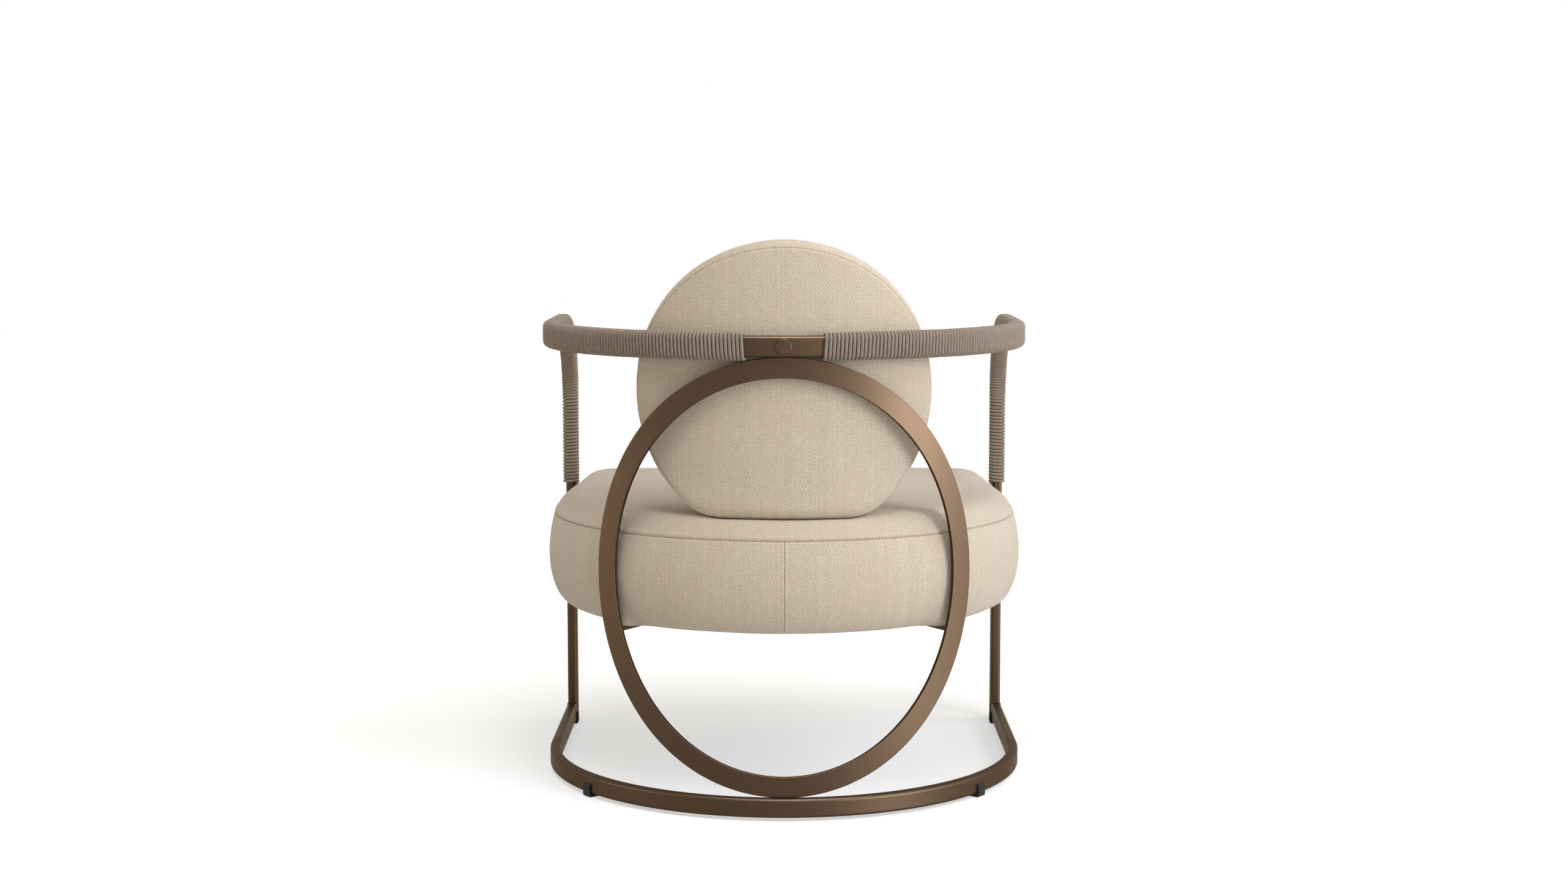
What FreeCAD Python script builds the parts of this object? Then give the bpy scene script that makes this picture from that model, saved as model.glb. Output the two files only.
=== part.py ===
import FreeCAD, Part
import math
import os
import Sketcher
from FreeCAD import Vector

# An armchair on one bent metal frame: a half-round rail at arm height and another at the floor,
# joined at the front by two posts and at the back by an upright oval hoop. Cord is wound round
# the arms. A round back pad is bolted to the arm rail and a deep seat pad rests on two tabs of
# the hoop and on a bar between the posts.
# Millimetres. +X is the sitter's left, +Y the back of the chair, +Z up. Every piece is drawn
# about the centre of the half-round rails, with the underside of the base rail as zero height.

drivingSizes = [
    ("glideLift", 4.5, "floor to the underside of the base rail"),
    ("railRadius", 345, "plan radius of the rails, to the outer face"),
    ("tubeWidth", 15, "width of every frame tube, across the rail"),
    ("tubeCorner", 4, "outside corner radius of the tubes"),
    ("tubeWall", 2, "wall of the tubes"),
    ("baseHeight", 26, "height of the base rail's tube"),
    ("armDepth", 28, "long side of the arm and post tube"),
    ("armRise", 242, "top of the bare arm rail above the seat's crown"),
    ("armStraight", 157, "straight length of each arm"),
    ("bendRadius", 120, "centre-line radius of the bend from arm to post"),
    ("hoopEase", 85, "hoop's plan radius, outer face, beyond that of the rails"),
    ("hoopThickness", 6, "thickness of the hoop's flat bar"),
    ("hoopBand", 28, "width of the hoop's flat bar"),
    ("hoopMargin", 74.5, "half width of the hoop, along its bend, short of the rails' radius"),
    ("hoopSetback", 8, "hoop's outer face in from the rails' outer face"),
    ("tabLength", 82, "seat tab, from the hoop inwards"),
    ("tabWidth", 22, "width of the seat tab"),
    ("tabThickness", 4, "thickness of the seat tab and its web"),
    ("webLength", 15, "web under the tab, along it"),
    ("webDrop", 10, "web under the tab, downwards, and the radius of its edge"),
    ("tabScrewMargin", 14, "screw hole in the tab, from its free end"),
    ("crossbarHeight", 25, "height of the bar under the seat's front"),
    ("crossbarScrewShare", 0.35, "screws in the crossbar, from the middle, share of the seat"),
    ("seatUnderside", 245, "underside of the seat pad's cover"),
    ("seatSetback", 1.5, "seat's rear half at its widest, in from the rails' outer face"),
    ("seatTaper", 3.7, "inward slope of the seat's sides, degrees"),
    ("seatOverhang", 48, "front edge of the seat ahead of the posts' middle"),
    ("seatCorner", 65, "plan radius of the seat's front corners"),
    ("seatBow", 1500, "plan radius of the seat's front edge"),
    ("seatSide", 128, "height of the seat's side, underside to top seam"),
    ("seatUnderInset", 30, "underside edge in from the widest line"),
    ("seatSeamInset", 8.5, "top seam in from the widest line"),
    ("seatCrown", 31, "rise of the seat's top above its seam"),
    ("seatCrownReach", 100, "distance from the seam to the full rise"),
    ("coverThickness", 1.5, "thickness of the fabric covers"),
    ("flangeReach", 25, "cover turned in under the seat board"),
    ("boardThickness", 12, "plywood of the seat"),
    ("boardInset", 34, "seat board in from the widest line"),
    ("dustThickness", 0.6, "non-woven sheet under the seat"),
    ("dustInset", 44, "non-woven sheet in from the widest line"),
    ("backRadius", 201, "half height of the back pad's round outline"),
    ("backHalfSpan", 223.5, "half width of that outline, measured round its bend"),
    ("backFlat", 27, "lower end of that outline cut off flat"),
    ("backFootSink", 8, "flattened lower edge below the seat's crown"),
    ("backLowerCorner", 70, "radius where the round meets the flattened edge"),
    ("backThickness", 96, "back pad, rear face to front at mid height"),
    ("backCrown", 14, "bulge of the back pad's front, top to bottom"),
    ("backRearCrown", 3, "bulge of the back pad's rear face"),
    ("backFrontRound", 32, "rounding of the back pad's front edge"),
    ("backRearRound", 12, "rounding of the back pad's rear edge"),
    ("backBoardMargin", 24, "board in the back pad, in from the flattened edge"),
    ("backBoardThickness", 9, "thickness of the board in the back pad"),
    ("spacerLength", 5.5, "washer between the arm rail and the back pad"),
    ("spacerRadius", 10, "radius of that washer"),
    ("boltHeadRadius", 11, "back bolt's low round head"),
    ("boltHeadHeight", 3, "height of that head"),
    ("boltRadius", 4, "back bolt's shank"),
    ("boltLength", 38, "back bolt under its head"),
    ("teeFlangeRadius", 11, "tee nut's flange"),
    ("teeFlangeThickness", 1.5, "thickness of that flange"),
    ("teeBarrelRadius", 5.5, "tee nut's barrel"),
    ("teeBarrelLength", 7, "length of that barrel"),
    ("screwRadius", 3, "seat screws' shank"),
    ("screwHeadRadius", 6, "seat screws' head"),
    ("screwHeadHeight", 3.5, "height of that head"),
    ("screwBite", 10, "seat screws' length in the board"),
    ("glideWall", 2.8, "wall of the floor glides"),
    ("glideLength", 16, "glide along the rail"),
    ("glideGrip", 14, "glide up the rail's sides"),
    ("glideRearTurn", 52.5, "rear glides round the rail from the middle, degrees"),
    ("glideFrontGap", 5, "front glides behind the posts"),
    ("cordDiameter", 4.6, "wound cord"),
    ("cordPitch", 5.25, "spacing of its turns"),
    ("cordStart", 52.7, "first turn from the middle, along the rail"),
    ("cordDrop", 137, "wound cord down each post, below the bend"),
    ("fit", 0.15, "clearance of pieces that fit round each other"),
    ("softGap", 0.3, "clearance of soft pieces"),
    ("overrun", 5, "cuts run this far past the solid"),
]
cordTurnCount = 24

doc = FreeCAD.newDocument("Armchair")
sheet = doc.addObject("Spreadsheet::Sheet", "Sizes")
for row, (name, number, note) in enumerate(drivingSizes, start=1):
    sheet.set(f"A{row}", note)
    sheet.set(f"B{row}", str(number))
    sheet.setAlias(f"B{row}", name)
doc.recompute()


def value(expression):
    """Number that an expression on the sheet's sizes gives."""
    return float(sheet.evalExpression(expression))


def size(name):
    return value(f"Sizes.{name}")


# Sizes that several pieces share, each worked out from the sheet
railInner = "(Sizes.railRadius - Sizes.tubeWidth)"
seatTop = "(Sizes.seatUnderside + Sizes.seatSide + Sizes.seatCrown)"
armTop = f"({seatTop} + Sizes.armRise)"
armLow = f"({armTop} - Sizes.armDepth)"
armMiddle = f"({armTop} - Sizes.armDepth / 2)"
postRear = "(Sizes.armStraight + Sizes.bendRadius - Sizes.armDepth / 2)"
postFront = "(Sizes.armStraight + Sizes.bendRadius + Sizes.armDepth / 2)"
bendCentreHeight = f"({armMiddle} - Sizes.bendRadius)"
supportTop = "(Sizes.seatUnderside - Sizes.dustThickness)"
crossbarLow = f"({supportTop} - Sizes.crossbarHeight)"
tabLow = f"({supportTop} - Sizes.tabThickness)"
seatBoardLow = "(Sizes.seatUnderside + Sizes.coverThickness)"
crossbarDepth = "(Sizes.armStraight + Sizes.bendRadius)"
tabScrewPlace = "(Sizes.tabLength - Sizes.tabScrewMargin)"
hoopBend = "(Sizes.railRadius + Sizes.hoopEase)"
hoopSpread = "(Sizes.railRadius - Sizes.hoopMargin)"
hoopCentre = f"(Sizes.railRadius - Sizes.hoopSetback - {hoopBend})"
hoopInner = f"({hoopBend} - Sizes.hoopThickness)"
hoopMiddleHeight = f"((Sizes.baseHeight + {armLow}) / 2)"
hoopRise = f"(({armLow} - Sizes.baseHeight) / 2)"
seatRadius = "(Sizes.railRadius - Sizes.seatSetback)"
crossbarScrewPlace = f"({seatRadius} * Sizes.crossbarScrewShare)"
seatFront = "(Sizes.armStraight + Sizes.bendRadius + Sizes.seatOverhang)"
backFlatDrop = "(Sizes.backRadius - Sizes.backFlat)"
backHeight = f"({seatTop} - Sizes.backFootSink + {backFlatDrop})"
backBoardRadius = f"({backFlatDrop} - Sizes.backBoardMargin)"
backRear = f"({railInner} - Sizes.spacerLength)"
backBoardRear = f"({backRear} - Sizes.coverThickness - Sizes.backRearCrown)"
backBoardFront = f"({backBoardRear} - Sizes.backBoardThickness)"
teeSeat = f"sqrt({backBoardFront} ^ 2 - Sizes.teeFlangeRadius ^ 2)"
boltTip = "(Sizes.railRadius - Sizes.boltLength)"
boltHole = "(Sizes.boltRadius + Sizes.fit)"
cordMiddle = "(Sizes.railRadius - Sizes.tubeWidth / 2)"
cordReach = "(Sizes.cordDiameter + Sizes.fit)"
cordCorner = "(Sizes.tubeCorner + Sizes.fit + Sizes.cordDiameter / 2)"
cordFirst = "(Sizes.cordStart + Sizes.cordDiameter / 2)"
cordLast = f"({cordFirst} + {cordTurnCount} * Sizes.cordPitch)"
sleeveStart = f"({cordLast} + {cordCorner} + Sizes.cordDiameter)"
cordEnd = f"({bendCentreHeight} - Sizes.cordDrop)"
chairShift = f"(({seatFront} - Sizes.railRadius - Sizes.boltHeadHeight) / 2)"

subParts = {}


def register(piece, name, back="0", rise="0", turn=None):
    """Name a sub-part and stand it on its place in the chair."""
    piece.Label = name
    piece.setExpression("Placement.Base.y", f"{chairShift} + {back}")
    piece.setExpression("Placement.Base.z", f"Sizes.glideLift + {rise}")
    if turn:
        piece.setExpression("Placement.Rotation.Angle", turn)
    subParts[name] = piece
    return piece


def newBody(name, **place):
    return register(doc.addObject("PartDesign::Body", f"{name}_body"), name, **place)


def shapedPiece(name, shape):
    """A sub-part whose shape is worked out by code from the sheet's sizes."""
    piece = doc.addObject("Part::Feature", f"{name}_piece")
    piece.Shape = shape
    return register(piece, name)


def newSketch(body, plane, name, offset=None):
    sketch = body.newObject("Sketcher::SketchObject", f"{body.Label}_{name}")
    support = [item for item in body.Origin.OriginFeatures if item.Role == plane][0]
    sketch.AttachmentSupport = [(support, "")]
    sketch.MapMode = "FlatFace"
    if offset:
        sketch.setExpression("AttachmentOffset.Base.z", offset)
    return sketch


def fix(sketch, kind, *where):
    """Dimension bound to an expression; one that is zero puts the point on the axis."""
    *geometry, expression = where
    if expression == "0":
        axis = -2 if kind == "DistanceX" else -1
        sketch.addConstraint(Sketcher.Constraint("PointOnObject", *geometry[-2:], axis))
        return
    index = sketch.addConstraint(Sketcher.Constraint(kind, *geometry, value(expression)))
    sketch.setExpression(f"Constraints[{index}]", expression)


def fixPoint(sketch, item, end, across, up):
    fix(sketch, "DistanceX", -1, 1, item, end, across)
    fix(sketch, "DistanceY", -1, 1, item, end, up)


def outline(sketch, corners, arcs=None):
    """Closed outline through corners given as pairs of expressions.

    arcs gives the radius of each side that is an arc: an expression, with a minus sign where
    the arc is hollow. The corners run anticlockwise.
    """
    arcs = arcs or {}
    first = sketch.GeometryCount
    places = [Vector(value(across), value(up), 0) for across, up in corners]
    count = len(corners)
    starts = []
    for index in range(count):
        start, end = places[index], places[(index + 1) % count]
        if index not in arcs:
            sketch.addGeometry(Part.LineSegment(start, end))
            starts.append(1)
            continue
        radius = value(arcs[index])
        chord = end - start
        outward = Vector(chord.y, -chord.x, 0).normalize()
        rise = abs(radius) - math.sqrt(radius ** 2 - (chord.Length / 2) ** 2)
        middle = (start + end) / 2 + outward * math.copysign(rise, radius)
        drawn = sketch.addGeometry(Part.Arc(start, middle, end))
        nearStart = sketch.getPoint(drawn, 1).distanceToPoint(start) < chord.Length / 2
        starts.append(1 if nearStart else 2)
    for index in range(count):
        following = (index + 1) % count
        sketch.addConstraint(Sketcher.Constraint(
            "Coincident", first + index, 3 - starts[index], first + following, starts[following]))
    for index, (across, up) in enumerate(corners):
        fixPoint(sketch, first + index, starts[index], across, up)
    for index, radius in arcs.items():
        fix(sketch, "Radius", first + index, radius.lstrip("-"))


def roundedBox(sketch, left, right, low, high, corner):
    """Rectangle with equal rounded corners, its sides given as expressions."""
    x0, x1, z0, z1, radius = [value(text) for text in (left, right, low, high, corner)]
    first = sketch.GeometryCount
    ends = [(x0 + radius, z0), (x1 - radius, z0), (x1, z0 + radius), (x1, z1 - radius),
            (x1 - radius, z1), (x0 + radius, z1), (x0, z1 - radius), (x0, z0 + radius)]
    centres = [(x1 - radius, z0 + radius), (x1 - radius, z1 - radius),
               (x0 + radius, z1 - radius), (x0 + radius, z0 + radius)]
    quarter = math.pi / 2
    for side in range(4):
        start, end = ends[2 * side], ends[2 * side + 1]
        sketch.addGeometry(Part.LineSegment(Vector(*start, 0), Vector(*end, 0)))
        circle = Part.Circle(Vector(*centres[side], 0), Vector(0, 0, 1), radius)
        sketch.addGeometry(Part.ArcOfCircle(circle, (side - 1) * quarter, side * quarter))
    for side in range(4):
        line = first + 2 * side
        following = first + (2 * side + 2) % 8
        sketch.addConstraint(Sketcher.Constraint("Tangent", line, 2, line + 1, 1))
        sketch.addConstraint(Sketcher.Constraint("Tangent", line + 1, 2, following, 1))
        level = "Horizontal" if side % 2 == 0 else "Vertical"
        sketch.addConstraint(Sketcher.Constraint(level, line))
        if side:
            sketch.addConstraint(Sketcher.Constraint("Equal", first + 1, line + 1))
    fix(sketch, "Radius", first + 1, corner)
    fix(sketch, "DistanceX", -1, 1, first + 6, 1, left)
    fix(sketch, "DistanceX", -1, 1, first + 2, 1, right)
    fix(sketch, "DistanceY", -1, 1, first, 1, low)
    fix(sketch, "DistanceY", -1, 1, first + 4, 1, high)


def ring(sketch, limits, outset, thickness, corner="Sizes.tubeCorner"):
    """Outline of a hollow section round limits (left, right, low, high), moved out by outset."""
    left, right, low, high = limits
    for move in (outset, f"{outset} - {thickness}"):
        roundedBox(sketch, f"{left} - ({move})", f"{right} + {move}", f"{low} - ({move})",
                   f"{high} + {move}", f"{corner} + {move}")


def tubeSection(sketch, *limits):
    ring(sketch, limits, "0", "Sizes.tubeWall")


def sleeveSection(sketch, *limits):
    ring(sketch, limits, cordReach, "Sizes.cordDiameter")


def sideSpan(side, inner="0", outer="0"):
    """Left and right limits of a stretch of X on one side of the chair."""
    return (inner, outer) if side > 0 else (f"-{outer}", f"-{inner}")


def railSpan(side):
    return sideSpan(side, railInner, "Sizes.railRadius")


def circle(sketch, across, up, radius):
    place = Vector(value(across), value(up), 0)
    index = sketch.addGeometry(Part.Circle(place, Vector(0, 0, 1), value(radius)))
    fix(sketch, "Radius", index, radius)
    fixPoint(sketch, index, 3, across, up)


def addFeature(body, kind, sketch, bound, **settings):
    """Sketched feature; bound names the properties that follow an expression."""
    feature = body.newObject(f"PartDesign::{kind}", f"{sketch.Name}_{kind}")
    feature.Profile = sketch
    for setting, choice in settings.items():
        setattr(feature, setting, choice)
    for setting, expression in bound.items():
        feature.setExpression(setting, expression)
    doc.recompute()
    return feature


def pad(body, sketch, length, **settings):
    addFeature(body, "Pad", sketch, {"Length": length}, **settings)


def revolve(body, sketch, axis, angle, **settings):
    addFeature(body, "Revolution", sketch, {"Angle": angle},
               ReferenceAxis=(sketch, [axis]), **settings)


def cut(body, kind, sketch, bound, **settings):
    """Cut that has to remove something: the volume before and after is compared."""
    before = body.Shape.Volume
    addFeature(body, kind, sketch, bound, **settings)
    if not body.Shape.Volume < before:
        raise RuntimeError(f"{sketch.Name} cuts nothing")


def addBend(body, name, drawSections, angle="90"):
    """Turn sections at the arms' front ends forward and down into the posts."""
    sketch = newSketch(body, "XZ_Plane", name, "Sizes.armStraight")
    drawSections(sketch)
    height = value(bendCentreHeight)
    reach = "Sizes.railRadius"
    axis = sketch.addGeometry(Part.LineSegment(Vector(0, height, 0), Vector(value(reach), height, 0)))
    sketch.setConstruction(axis, True)
    fixPoint(sketch, axis, 1, "0", bendCentreHeight)
    fixPoint(sketch, axis, 2, reach, bendCentreHeight)
    revolve(body, sketch, "Axis0", angle)


def makeArmRail():
    body = newBody("arm_rail")
    arc = newSketch(body, "XZ_Plane", "arc")
    tubeSection(arc, *railSpan(1), armLow, armTop)
    revolve(body, arc, "V_Axis", "180")

    def drawArms(sketch):
        for side in (1, -1):
            tubeSection(sketch, *railSpan(side), armLow, armTop)

    arms = newSketch(body, "XZ_Plane", "arms")
    drawArms(arms)
    pad(body, arms, "Sizes.armStraight")
    addBend(body, "bends", drawArms)
    hole = newSketch(body, "XZ_Plane", "bolt_hole")
    circle(hole, "0", armMiddle, boltHole)
    cut(body, "Pocket", hole, {"Length": "Sizes.railRadius + Sizes.overrun"})


def makeBaseRail():
    body = newBody("base_rail")
    limits = ("0", "Sizes.baseHeight")
    arc = newSketch(body, "XZ_Plane", "arc")
    tubeSection(arc, *railSpan(1), *limits)
    revolve(body, arc, "V_Axis", "180")
    legs = newSketch(body, "XZ_Plane", "legs")
    for side in (1, -1):
        tubeSection(legs, *railSpan(side), *limits)
    pad(body, legs, postRear)


def makePost(name, side):
    body = newBody(name)
    section = newSketch(body, "XY_Plane", "section")
    tubeSection(section, *railSpan(side), f"-{postFront}", f"-{postRear}")
    pad(body, section, bendCentreHeight)


def makeCrossbar():
    """Bar between the posts, its top level with the hoop's tabs."""
    body = newBody("front_crossbar")
    section = newSketch(body, "YZ_Plane", "section")
    half = "Sizes.tubeWidth / 2"
    tubeSection(section, f"-({crossbarDepth} + {half})", f"-({crossbarDepth} - {half})",
                crossbarLow, supportTop)
    pad(body, section, f"2 * {railInner}", Midplane=True)
    holes = newSketch(body, "XY_Plane", "screw_holes")
    for side in ("", "-"):
        circle(holes, f"{side}{crossbarScrewPlace}", f"-{crossbarDepth}",
               "Sizes.screwRadius + Sizes.fit")
    cut(body, "Pocket", holes, {"Length": f"{supportTop} + Sizes.overrun"}, Reversed=True)


def makeHoop():
    """Flat bar bent to the rails' curve: an oval drawn on a cylinder.

    On the unrolled cylinder the outline is an ellipse; seen from behind, a point at distance
    run along the bend stands at bend * sin(run / bend).
    """
    bend = value(hoopBend)
    middle = Vector(0, value(hoopCentre), value(hoopMiddleHeight))
    outlineCount = 48

    def oval(spread, rise):
        points = []
        for index in range(outlineCount):
            angle = 2 * math.pi * index / outlineCount
            across = bend * math.sin(spread * math.cos(angle) / bend)
            points.append(middle + Vector(across, 0, rise * math.sin(angle)))
        curve = Part.BSplineCurve()
        curve.interpolate(Points=points, PeriodicFlag=True)
        return Part.Wire([curve.toShape()])

    spread, rise, band = value(hoopSpread), value(hoopRise), size("hoopBand")
    face = Part.makeFace([oval(spread, rise), oval(spread - band, rise - band)],
                         "Part::FaceMakerBullseye")
    prism = face.extrude(Vector(0, bend + size("overrun"), 0))
    centre = Vector(0, middle.y, 0)
    height = value(armTop)
    shell = Part.makeCylinder(bend, height, centre).cut(
        Part.makeCylinder(value(hoopInner), height, centre))
    shapedPiece("hoop_ring", prism.common(shell).Solids[0])


def hoopReach(spread, rise):
    """Expression: how far along its bend an oval of the hoop reaches at the tabs' height."""
    drop = f"({hoopMiddleHeight} - {tabLow} - Sizes.tabThickness / 2)"
    return f"({spread}) * sqrt(1 - ({drop} / ({rise})) ^ 2)"


bandOuter = hoopReach(hoopSpread, hoopRise)
bandInner = hoopReach(f"{hoopSpread} - Sizes.hoopBand", f"{hoopRise} - Sizes.hoopBand")
tabTurn = f"({bandOuter} + {bandInner}) / 2 / {hoopBend} * 180 / pi"
tabRoot = f"sqrt({hoopInner} ^ 2 - Sizes.tabWidth ^ 2 / 4)"


def makeBracket(name, side):
    """Tab on the hoop's inner face with a hollow-edged web under it."""
    body = newBody(name, back=hoopCentre, turn=f"{-side} * {tabTurn}")
    half = "Sizes.tabWidth / 2"
    tab = newSketch(body, "XY_Plane", "tab", tabLow)
    outline(tab, [(f"-{half}", f"{tabRoot} - Sizes.tabLength"),
                  (half, f"{tabRoot} - Sizes.tabLength"), (half, tabRoot), (f"-{half}", tabRoot)])
    circle(tab, "0", f"{hoopInner} - {tabScrewPlace}", "Sizes.screwRadius + Sizes.fit")
    pad(body, tab, "Sizes.tabThickness")
    web = newSketch(body, "YZ_Plane", "web")
    outline(web, [(f"{tabRoot} - Sizes.webLength", tabLow), (tabRoot, f"{tabLow} - Sizes.webDrop"),
                  (tabRoot, tabLow)], arcs={0: "-Sizes.webDrop"})
    pad(body, web, "Sizes.tabThickness", Midplane=True)


def makeGlide(name, side, rear):
    """Saddle clipped over the base rail from below, with a pad that meets the floor."""
    turn = "90 - Sizes.glideRearTurn"
    body = newBody(name, turn=turn if side > 0 else f"180 - ({turn})") if rear else newBody(name)
    span = 1 if rear else side
    left, right = railSpan(span)
    wall = "Sizes.glideWall"
    offset = None if rear else f"{postRear} - Sizes.glideFrontGap - Sizes.glideLength"
    saddle = newSketch(body, "XZ_Plane", "saddle", offset)
    roundedBox(saddle, f"{left} - Sizes.fit - {wall}", f"{right} + Sizes.fit + {wall}",
               "-Sizes.glideLift", "Sizes.glideGrip", f"{wall}")
    seat = newSketch(body, "XZ_Plane", "seat", offset)
    outline(seat, [(f"{left} - Sizes.fit", "0"), (f"{right} + Sizes.fit", "0"),
                   (f"{right} + Sizes.fit", "Sizes.glideGrip + Sizes.overrun"),
                   (f"{left} - Sizes.fit", "Sizes.glideGrip + Sizes.overrun")])
    if rear:
        angle = {"Angle": "Sizes.glideLength / Sizes.railRadius * 180 / pi"}
        revolve(body, saddle, "V_Axis", angle["Angle"], Midplane=True)
        cut(body, "Groove", seat, angle, ReferenceAxis=(seat, ["V_Axis"]), Midplane=True)
    else:
        pad(body, saddle, "Sizes.glideLength")
        cut(body, "Pocket", seat, {"Length": "Sizes.glideLength"}, Reversed=True)


def makeTurned(name, corners, arcs=None):
    """Piece turned about the bolt's axis, which runs back through the arm rail."""
    body = newBody(name, rise=armMiddle)
    section = newSketch(body, "XY_Plane", "section")
    outline(section, corners, arcs)
    revolve(body, section, "V_Axis", "360")


def makeBackFixings():
    head, rim = "Sizes.boltHeadRadius", "Sizes.boltHeadHeight / 3"
    crown = f"(Sizes.boltHeadHeight - {rim})"
    dome = f"({head} ^ 2 + {crown} ^ 2) / (2 * {crown})"
    seat = "Sizes.railRadius"
    makeTurned("back_bolt", [("0", boltTip), ("Sizes.boltRadius", boltTip),
                             ("Sizes.boltRadius", seat), (head, seat), (head, f"{seat} + {rim}"),
                             ("0", f"{seat} + Sizes.boltHeadHeight")], arcs={4: dome})
    spacerEnd = f"sqrt({railInner} ^ 2 - Sizes.spacerRadius ^ 2)"
    makeTurned("back_spacer", [(boltHole, backRear), ("Sizes.spacerRadius", backRear),
                               ("Sizes.spacerRadius", spacerEnd), (boltHole, spacerEnd)])
    flange = f"{teeSeat} - Sizes.teeFlangeThickness"
    barrelEnd = f"{teeSeat} + Sizes.teeBarrelLength"
    makeTurned("back_tee_nut", [(boltHole, flange), ("Sizes.teeFlangeRadius", flange),
                                ("Sizes.teeFlangeRadius", teeSeat),
                                ("Sizes.teeBarrelRadius", teeSeat),
                                ("Sizes.teeBarrelRadius", barrelEnd), (boltHole, barrelEnd)])


def boltBore(radius, start, end):
    """Round hole along the bolt's axis, between two distances from the rails' centre."""
    base = Vector(0, start, value(armMiddle))
    return Part.makeCylinder(radius, end - start, base, Vector(0, 1, 0))


def seatOutline(inset, height):
    """Seat in plan, drawn in by scaling about the rails' centre.

    A half circle at the back runs on a little way past the sides, and straight sides leave it
    on a taper. Rounded corners join them to a slightly bowed front edge.
    """
    radius, taper = value(seatRadius), math.radians(size("seatTaper"))
    corner, bow = size("seatCorner"), size("seatBow")
    tangent = Vector(radius * math.cos(taper), -radius * math.sin(taper), 0)
    along = Vector(-math.sin(taper), -math.cos(taper), 0)
    inward = Vector(-math.cos(taper), math.sin(taper), 0)
    bowCentre = Vector(0, bow - value(seatFront), 0)
    toLine = tangent + inward * corner - bowCentre
    half = toLine.dot(along)
    run = -half + math.sqrt(half ** 2 - toLine.dot(toLine) + (bow - corner) ** 2)
    cornerCentre = tangent + inward * corner + along * run
    sideEnd = tangent + along * run
    frontEnd = bowCentre + (cornerCentre - bowCentre) * (bow / (bow - corner))
    spread = (sideEnd - cornerCentre).normalize() + (frontEnd - cornerCentre).normalize()
    cornerMiddle = cornerCentre + spread.normalize() * corner
    rear, front = Vector(0, radius, 0), Vector(0, -value(seatFront), 0)
    rearMiddle = (tangent + rear).normalize() * radius
    bowMiddle = bowCentre + ((frontEnd + front) / 2 - bowCentre).normalize() * bow
    share = 1 - inset / radius

    def place(point, side):
        return Vector(point.x * side * share, point.y * share, height)

    def sideEdges(side):
        return [Part.Arc(place(rear, side), place(rearMiddle, side), place(tangent, side)),
                Part.LineSegment(place(tangent, side), place(sideEnd, side)),
                Part.Arc(place(sideEnd, side), place(cornerMiddle, side), place(frontEnd, side)),
                Part.Arc(place(frontEnd, side), place(bowMiddle, side), place(front, side))]

    left = [edge.toShape() for edge in sideEdges(1)]
    right = [edge.toShape() for edge in reversed(sideEdges(-1))]
    return Part.Wire(left + right)


# The seat's side from its underside edge to its top seam: share of the side's height, and
# share of the inset at the underside or, above the widest line, at the seam
lowerSideShares = [(0, 1), (0.016, 0.73), (0.055, 0.5), (0.13, 0.3), (0.23, 0.17), (0.35, 0.07),
                   (0.51, 0)]
upperSideShares = [(0.66, 0.06), (0.82, 0.35), (0.93, 0.7), (1, 1)]
crownShares = (0.06, 0.2, 0.4, 0.65, 1)


def backDent(grow):
    """Space that the back pad's flattened foot takes out of the seat's crown.

    A sector of a hollow cylinder about the rails' centre, as wide as the pad is where it
    crosses the top of the seat, and larger than the pad by grow.
    """
    rear, front = value(backRear) + grow, value(backRear) - size("backThickness") - grow
    low = value(backHeight) - value(backFlatDrop) - grow
    drop = value(backHeight) - value(seatTop)
    across = math.sqrt(size("backRadius") ** 2 - drop ** 2)
    run = across * size("backHalfSpan") / size("backRadius") + grow
    turn = math.degrees(run / value(backRear))
    base, height = Vector(0, 0, low), value(seatTop) - low + size("overrun")
    sector = [Part.makeCylinder(radius, height, base, Vector(0, 0, 1), 2 * turn)
              for radius in (rear, front)]
    dent = sector[0].cut(sector[1])
    dent.rotate(Vector(0, 0, 0), Vector(0, 0, 1), 90 - turn)
    return dent


def seatSolid(skin):
    """The seat's outer form, drawn in by a skin all round, with the dent of the back pad."""
    side, crown = size("seatSide"), size("seatCrown")
    seam = size("seatSeamInset")
    squash = 1 - 2 * skin / (side + crown)
    rows = [(share * side, drawn * size("seatUnderInset")) for share, drawn in lowerSideShares]
    rows += [(share * side, drawn * seam) for share, drawn in upperSideShares]
    for share in crownShares:
        rise = crown * (1 - (1 - share) ** 2)
        rows.append((side + rise, seam + share * size("seatCrownReach")))
    low = size("seatUnderside") + skin
    wires = [seatOutline(inset + skin, low + rise * squash) for rise, inset in rows]
    return Part.makeLoft(wires, True, True).cut(backDent(skin + size("softGap")))


def seatPrism(inset, low, high):
    return Part.Face(seatOutline(inset, low)).extrude(Vector(0, 0, high - low))


def screwPlaces():
    """The seat's four screws: centre and height of what each head bears on."""
    turn = math.radians(value(tabTurn))
    reach = value(hoopInner) - value(tabScrewPlace)
    rear = (reach * math.sin(turn), value(hoopCentre) + reach * math.cos(turn), value(tabLow))
    front = (value(crossbarScrewPlace), -value(crossbarDepth), value(crossbarLow))
    return [Vector(side * across, depth, height)
            for across, depth, height in (rear, front) for side in (1, -1)]


def seatScrews(radiusAdd):
    """The four screws' shanks, wider by radiusAdd, as cutters or as metal."""
    top = value(seatBoardLow) + size("screwBite")
    return [Part.makeCylinder(size("screwRadius") + radiusAdd, top + radiusAdd - place.z, place)
            for place in screwPlaces()]


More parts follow.
